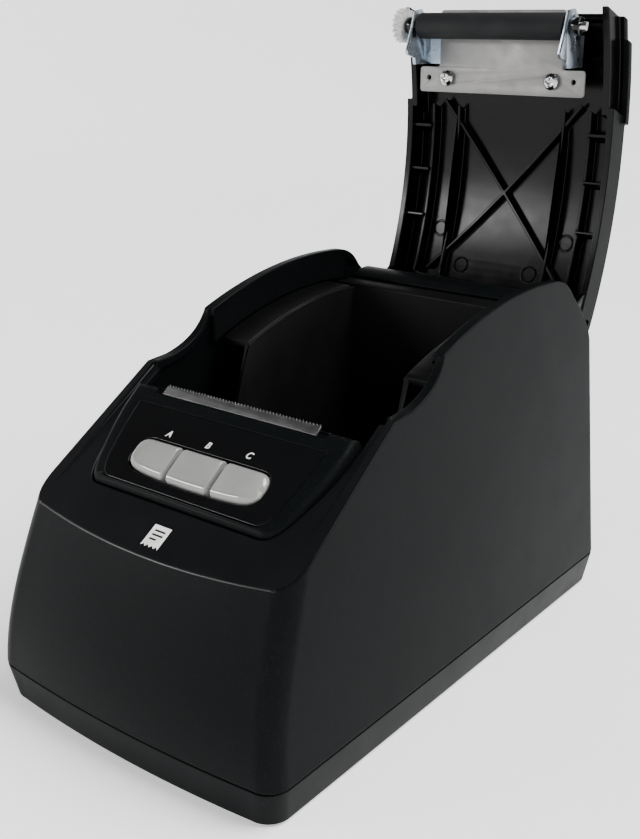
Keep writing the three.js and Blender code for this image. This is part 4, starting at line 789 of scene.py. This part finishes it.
class Finish:
    """A procedural material: a Principled shader fed by nodes in the row frame's metres."""

    def __init__(self, name, color, rough, metallic=0.0, specular=0.5, coat=0.0):
        self.made = bpy.data.materials.new(name)
        self.made.use_nodes = True
        self.nodes = self.made.node_tree.nodes
        self.links = self.made.node_tree.links
        self.shader = self.nodes["Principled BSDF"]
        self.shader.inputs["Metallic"].default_value = metallic
        self.shader.inputs["Specular IOR Level"].default_value = specular
        self.shader.inputs["Coat Weight"].default_value = coat
        self.shader.inputs["Coat Roughness"].default_value = 0.03
        self.place = self.nodes.new("ShaderNodeTexCoord").outputs["Object"]
        self.color = self.constant(color)
        self.rough = rough
        self.bump = None

    def constant(self, color):
        node = self.nodes.new("ShaderNodeRGB")
        node.outputs[0].default_value = (*color, 1)
        return node.outputs[0]

    def stretched(self, scale):
        node = self.nodes.new("ShaderNodeMapping")
        node.inputs["Scale"].default_value = scale
        self.links.new(self.place, node.inputs["Vector"])
        return node.outputs[0]

    def noise(self, scale, detail=3.0, rough=0.5, place=None):
        node = self.nodes.new("ShaderNodeTexNoise")
        node.inputs["Scale"].default_value = scale
        node.inputs["Detail"].default_value = detail
        node.inputs["Roughness"].default_value = rough
        self.links.new(place or self.place, node.inputs["Vector"])
        return node.outputs["Fac"]

    def cells(self, scale):
        node = self.nodes.new("ShaderNodeTexVoronoi")
        node.inputs["Scale"].default_value = scale
        self.links.new(self.place, node.inputs["Vector"])
        split = self.nodes.new("ShaderNodeSeparateColor")
        self.links.new(node.outputs["Color"], split.inputs[0])
        return split.outputs[0]

    def ranged(self, source, low, high, to_low=0.0, to_high=1.0):
        node = self.nodes.new("ShaderNodeMapRange")
        for socket, value in zip(node.inputs[1:5], (low, high, to_low, to_high)):
            socket.default_value = value
        self.links.new(source, node.inputs["Value"])
        return node.outputs[0]

    def mixed(self, factor, first, second):
        node = self.nodes.new("ShaderNodeMix")
        node.data_type = "RGBA"
        self.links.new(factor, node.inputs["Factor"])
        self.links.new(first, node.inputs["A"])
        self.links.new(second, node.inputs["B"])
        return node.outputs["Result"]

    def tint(self, factor, color):
        self.color = self.mixed(factor, self.color, self.constant(color))

    def raise_by(self, height, depth, strength=1.0):
        node = self.nodes.new("ShaderNodeBump")
        node.inputs["Distance"].default_value = depth * MM
        node.inputs["Strength"].default_value = strength
        self.links.new(height, node.inputs["Height"])
        if self.bump is not None:
            self.links.new(self.bump, node.inputs["Normal"])
        self.bump = node.outputs[0]

    def done(self, rough_spread=0.06, rough_scale=90):
        """Joins the parts up; roughness wanders round its middle value."""
        wander = self.ranged(
            self.noise(rough_scale, 4), 0.3, 0.7, self.rough - rough_spread, self.rough + rough_spread
        )
        self.links.new(wander, self.shader.inputs["Roughness"])
        self.links.new(self.color, self.shader.inputs["Base Color"])
        if self.bump is not None:
            self.links.new(self.bump, self.shader.inputs["Normal"])
        return self.made


def lighter(color, factor):
    return tuple(min(1.0, c * factor) for c in color)


def worn_edges(finish, color, strength=0.5):
    """Edges and corners rubbed a little lighter."""
    point = finish.nodes.new("ShaderNodeNewGeometry").outputs["Pointiness"]
    edge = finish.ranged(point, 0.53, 0.62, 0.0, strength)
    patchy = finish.ranged(finish.noise(220, 5), 0.42, 0.6)
    both = finish.nodes.new("ShaderNodeMath")
    both.operation = "MULTIPLY"
    finish.links.new(edge, both.inputs[0])
    finish.links.new(patchy, both.inputs[1])
    finish.tint(both.outputs[0], color)


def moulded(name, color, rough, depth=0.02, painted_glints=0.0, **shader):
    """Moulded plastic: fine pebble grain, faint mottling, rubbed edges, and any painted glints."""
    finish = Finish(name, color, rough, **shader)
    finish.tint(finish.ranged(finish.noise(45, 4), 0.35, 0.7, 0, 0.3), lighter(color, 1.35))
    # Painted glints: bright flecks painted into the base colour to stand for the plastic's sparkle.
    if painted_glints:
        finish.tint(finish.ranged(finish.cells(2600), 0.9, 1.0, 0, painted_glints), lighter(color, 7))
    worn_edges(finish, lighter(color, 2.4))
    finish.raise_by(finish.noise(PEBBLE_GRAIN, 2, 0.6), depth)
    finish.raise_by(finish.noise(55, 2), 0.008)
    return finish.done(0.035)


def glossy(name, color, rough=0.08, **shader):
    """Polished moulding: near mirror, with the slow ripple and hairline scuffs that handling leaves."""
    finish = Finish(name, color, rough, **shader)
    finish.tint(finish.ranged(finish.noise(70, 4), 0.4, 0.7, 0, 0.4), lighter(color, 1.6))
    worn_edges(finish, lighter(color, 3), 0.35)
    finish.raise_by(finish.noise(38, 2), 0.1)
    finish.raise_by(finish.noise(900, 3, place=finish.stretched((1, 0.08, 1))), 0.0015)
    return finish.done(0.035, 160)


def sheet_metal(name, color, rough, metallic=1.0, tarnish=None):
    """Rolled or plated sheet: fine lines along x, cloudy staining, bright edges."""
    finish = Finish(name, color, rough, metallic)
    finish.tint(finish.ranged(finish.noise(60, 5), 0.4, 0.68, 0, 0.6), tarnish or lighter(color, 0.72))
    worn_edges(finish, lighter(color, 1.3), 0.6)
    finish.raise_by(finish.noise(ROLLED_GRAIN, 3, place=finish.stretched(ROLLED_ALONG)), 0.008)
    return finish.done(0.09, 200)


def rubber(name, color, rough=0.75):
    """Ground rubber: fine round-and-round lines with dust in the grain."""
    finish = Finish(name, color, rough, specular=0.2)
    finish.tint(finish.ranged(finish.noise(130, 5), 0.5, 0.72, 0, 0.5), lighter(color, 1.9))
    finish.raise_by(finish.noise(2400, 3, place=finish.stretched((1, 0.12, 0.12))), 0.03)
    finish.raise_by(finish.noise(1300, 2), 0.02)
    return finish.done()


def circuit(name, color):
    """Solder mask over copper: square-cornered tracks a shade lighter than the board."""
    finish = Finish(name, color, 0.4)
    finish.tint(finish.ranged(finish.cells(420), 0.55, 0.6, 0, 0.7), lighter(color, 1.8))
    finish.tint(finish.ranged(finish.noise(90, 3), 0.45, 0.7, 0, 0.5), lighter(color, 0.5))
    finish.raise_by(finish.cells(420), 0.03)
    return finish.done()


SATIN = (0.0026, 0.0032, 0.0034)
GLOSS = (0.0018, 0.0019, 0.0022)
FINISHES = {
    # satin black carries painted glints, bright flecks painted into its colour
    "satin_black": moulded("satin_black", SATIN, 0.38, depth=0.012, painted_glints=0.25, specular=0.04),
    "bay_black": moulded("bay_black", (0.0012, 0.0012, 0.0014), 0.5, depth=0.02, specular=0.12),
    "gloss_black": glossy("gloss_black", GLOSS, 0.06, specular=0.3),
    "component_black": moulded("component_black", (0.012, 0.012, 0.013), 0.5),
    "silver_button": glossy("silver_button", (0.20, 0.204, 0.193), 0.12, coat=0.5),
    "bracket_steel": sheet_metal("bracket_steel", (0.20, 0.197, 0.191), 0.5, metallic=0.4),
    "zinc_plate": sheet_metal("zinc_plate", (0.42, 0.47, 0.52), 0.3, tarnish=(0.30, 0.38, 0.47)),
    "chrome_steel": sheet_metal("chrome_steel", (0.5, 0.5, 0.5), 0.14),
    "port_metal": sheet_metal("port_metal", (0.55, 0.55, 0.54), 0.28),
    "dark_steel": sheet_metal("dark_steel", (0.20, 0.20, 0.20), 0.42),
    "platen_rubber": rubber("platen_rubber", (0.006, 0.0065, 0.007), 0.7),
    "foot_rubber": rubber("foot_rubber", (0.014, 0.014, 0.014), 0.85),
    "gear_nylon": moulded("gear_nylon", (0.42, 0.42, 0.41), 0.45, depth=0.006),
    "ribbon_white": moulded("ribbon_white", (0.55, 0.55, 0.53), 0.35, depth=0.004),
    "circuit_green": circuit("circuit_green", (0.01, 0.09, 0.035)),
    "head_heatsink": sheet_metal("head_heatsink", (0.5, 0.5, 0.5), 0.4),
}
INSIDE_GLOSS = glossy("lid_inside", (0.0008, 0.0009, 0.0011), 0.2, specular=0.12)
DECK_BLACK = moulded("deck_black", (0.0026, 0.0028, 0.0034), 0.32, depth=0.01, specular=0.25)
LABEL = moulded("label_ink", (0.62, 0.62, 0.60), 0.5, depth=0.003)
SKIN_DEPTH = 0.7  # faces nearer the outer skin than this belong to it
DECK_LENGTH = 42.0


def split_finishes(piece, finish, inside):
    """Gives the second finish to the faces whose middle, in the shell's millimetres, `inside` accepts."""
    dress(piece, *finish)
    for face in piece.data.polygons:
        middle = (face.center - SHIFT) / MM
        face.material_index = int(inside(middle))


def within_lid(middle):
    shut = SHUT_TO_OPEN.inverted() @ middle
    depth = ARC_R - math.hypot(shut.y - CROWN_Y, shut.z - ARC_Z)
    return depth > SKIN_DEPTH and abs(shut.x) < LID_HALF - 0.2


def on_deck(middle):
    deck = DECK_FRAME.inverted() @ middle
    return abs(deck.x) < DECK_HALF - 0.05 and abs(deck.z) < SKIN_DEPTH and deck.y < DECK_LENGTH


def dress(piece, *finishes):
    piece.data.materials.clear()
    for finish in finishes:
        piece.data.materials.append(finish)


for piece in [o for o in bpy.data.objects if o.get("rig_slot")]:
    dress(piece, FINISHES[piece["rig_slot"]])
split_finishes(bpy.data.objects["lid_skin"], (FINISHES["satin_black"], INSIDE_GLOSS), within_lid)
split_finishes(bpy.data.objects["body_shell_skin"], (FINISHES["satin_black"], DECK_BLACK), on_deck)
for mark in ("mark_a", "mark_b", "mark_c", "receipt_sign"):
    dress(bpy.data.objects[mark], LABEL)

# The CAD nodes that stay: merged corners, rounded edges, and their own slot's finish.
EDGES = {"print_frame": 0.15, "paper_bay": 0.35, "main_board": 0.15, "tear_bar": 0.06}
for subpart in frame["record"]["subparts"]:
    node = frame["nodes"][subpart["node"]]
    for old in node.material_slots:
        old.material = FINISHES[subpart["material_slot"]]
    weld = node.modifiers.new("merged corners", "WELD")
    weld.merge_threshold = 0.002 * MM
    soften(node, EDGES.get(subpart["node"], 0.12) * MM)

# ------------------------------------------------------------------ floor, light and camera
CAMERA_AT = Vector((212.3, -281.18, 198.1)) * MM
YAW, PITCH, ROLL = math.radians(38.35), math.radians(19.59), math.radians(-0.25)
LENS = 49.35
STAND_R, SWEEP_R, STAND_SIDES, SWEEP_STEPS = 1.3, 1.0, 96, 24
RIM_Z = 0.4  # how far down the back of the stand's wall reaches


def floor():
    """A flat stand that sweeps up into a wall all round, folded down behind its top edge."""
    around = STAND_SIDES
    run = [(STAND_R, 0.0)]
    for i in range(1, SWEEP_STEPS + 1):
        turn = math.pi / 2 * i / SWEEP_STEPS
        run.append((STAND_R + SWEEP_R * math.sin(turn), SWEEP_R * (1 - math.cos(turn))))
    run.append((STAND_R + SWEEP_R, RIM_Z))
    turns = [2 * math.pi * i / around for i in range(around)]
    points = [(r * math.cos(a), r * math.sin(a), z) for r, z in run for a in turns]
    faces = [list(range(around))]
    for level in range(len(run) - 1):
        for i in range(around):
            a, b = level * around + i, level * around + (i + 1) % around
            faces.append([a, a + around, b + around, b])
    mesh = bpy.data.meshes.new("floor")
    mesh.from_pydata(points, [], faces)
    for face in mesh.polygons:
        face.use_smooth = True
    ground = bpy.data.objects.new("floor", mesh)
    bpy.context.scene.collection.objects.link(ground)
    finish = Finish("floor", (0.9, 0.9, 0.9), 0.6, specular=0.2)
    finish.tint(finish.ranged(finish.noise(8, 2), 0.4, 0.6, 0, 0.3), (0.88, 0.88, 0.88))
    finish.shader.inputs["Emission Color"].default_value = (1, 1, 1, 1)
    finish.shader.inputs["Emission Strength"].default_value = 0.5
    dress(ground, finish.done())
    ground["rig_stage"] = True


def soft_light(name, at, target, width, height, power):
    data = bpy.data.lights.new(name, "AREA")
    data.shape = "RECTANGLE"
    data.size, data.size_y = width, height
    data.energy = power
    lamp = bpy.data.objects.new(name, data)
    bpy.context.scene.collection.objects.link(lamp)
    lamp.location = at
    lamp.rotation_euler = (Vector(target) - Vector(at)).to_track_quat("-Z", "Y").to_euler()


def world(horizon, zenith):
    """A bright studio wall round the horizon under a dim ceiling."""
    sky = bpy.data.worlds.new("studio")
    bpy.context.scene.world = sky
    sky.use_nodes = True
    back = sky.node_tree.nodes["Background"]
    nodes, links = sky.node_tree.nodes, sky.node_tree.links
    split = nodes.new("ShaderNodeSeparateXYZ")
    links.new(nodes.new("ShaderNodeTexCoord").outputs["Generated"], split.inputs[0])
    height = nodes.new("ShaderNodeMapRange")
    for socket, value in zip(height.inputs[1:5], (0.02, 0.3, horizon, zenith)):
        socket.default_value = value
    links.new(split.outputs["Z"], height.inputs["Value"])
    links.new(height.outputs[0], back.inputs["Strength"])
    back.inputs["Color"].default_value = (1, 1, 1, 1)


def camera():
    data = bpy.data.cameras.new("camera")
    data.lens = LENS
    data.sensor_width = 36
    data.clip_start = 0.01
    eye = bpy.data.objects.new("camera", data)
    bpy.context.scene.collection.objects.link(eye)
    along = Vector((-math.sin(YAW) * math.cos(PITCH), math.cos(YAW) * math.cos(PITCH), -math.sin(PITCH)))
    right = Vector((math.cos(YAW), math.sin(YAW), 0))
    up = right.cross(along)
    turn = Matrix((right, up, -along)).transposed().to_4x4()
    eye.matrix_world = Matrix.Translation(CAMERA_AT) @ turn @ Matrix.Rotation(ROLL, 4, "Z")
    bpy.context.scene.camera = eye


def sun(direction, spread, strength):
    data = bpy.data.lights.new("sun", "SUN")
    data.energy = strength
    data.angle = math.radians(spread)
    lamp = bpy.data.objects.new("sun", data)
    bpy.context.scene.collection.objects.link(lamp)
    lamp.rotation_euler = Vector(direction).to_track_quat("Z", "Y").to_euler()


MIDDLE = (0, 0, 0.09)
floor()
sun((0.42, 0.30, 0.86), 40, 4.4)
soft_light("upper_right", (0.75, 0.15, 0.85), MIDDLE, 0.45, 0.45, 7)
soft_light("front_left", (-0.70, -0.87, 0.40), MIDDLE, 0.4, 0.14, 5)
world(0.95, 0.12)
camera()

low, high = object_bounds()
size["visual"] = [list(low), list(high)]
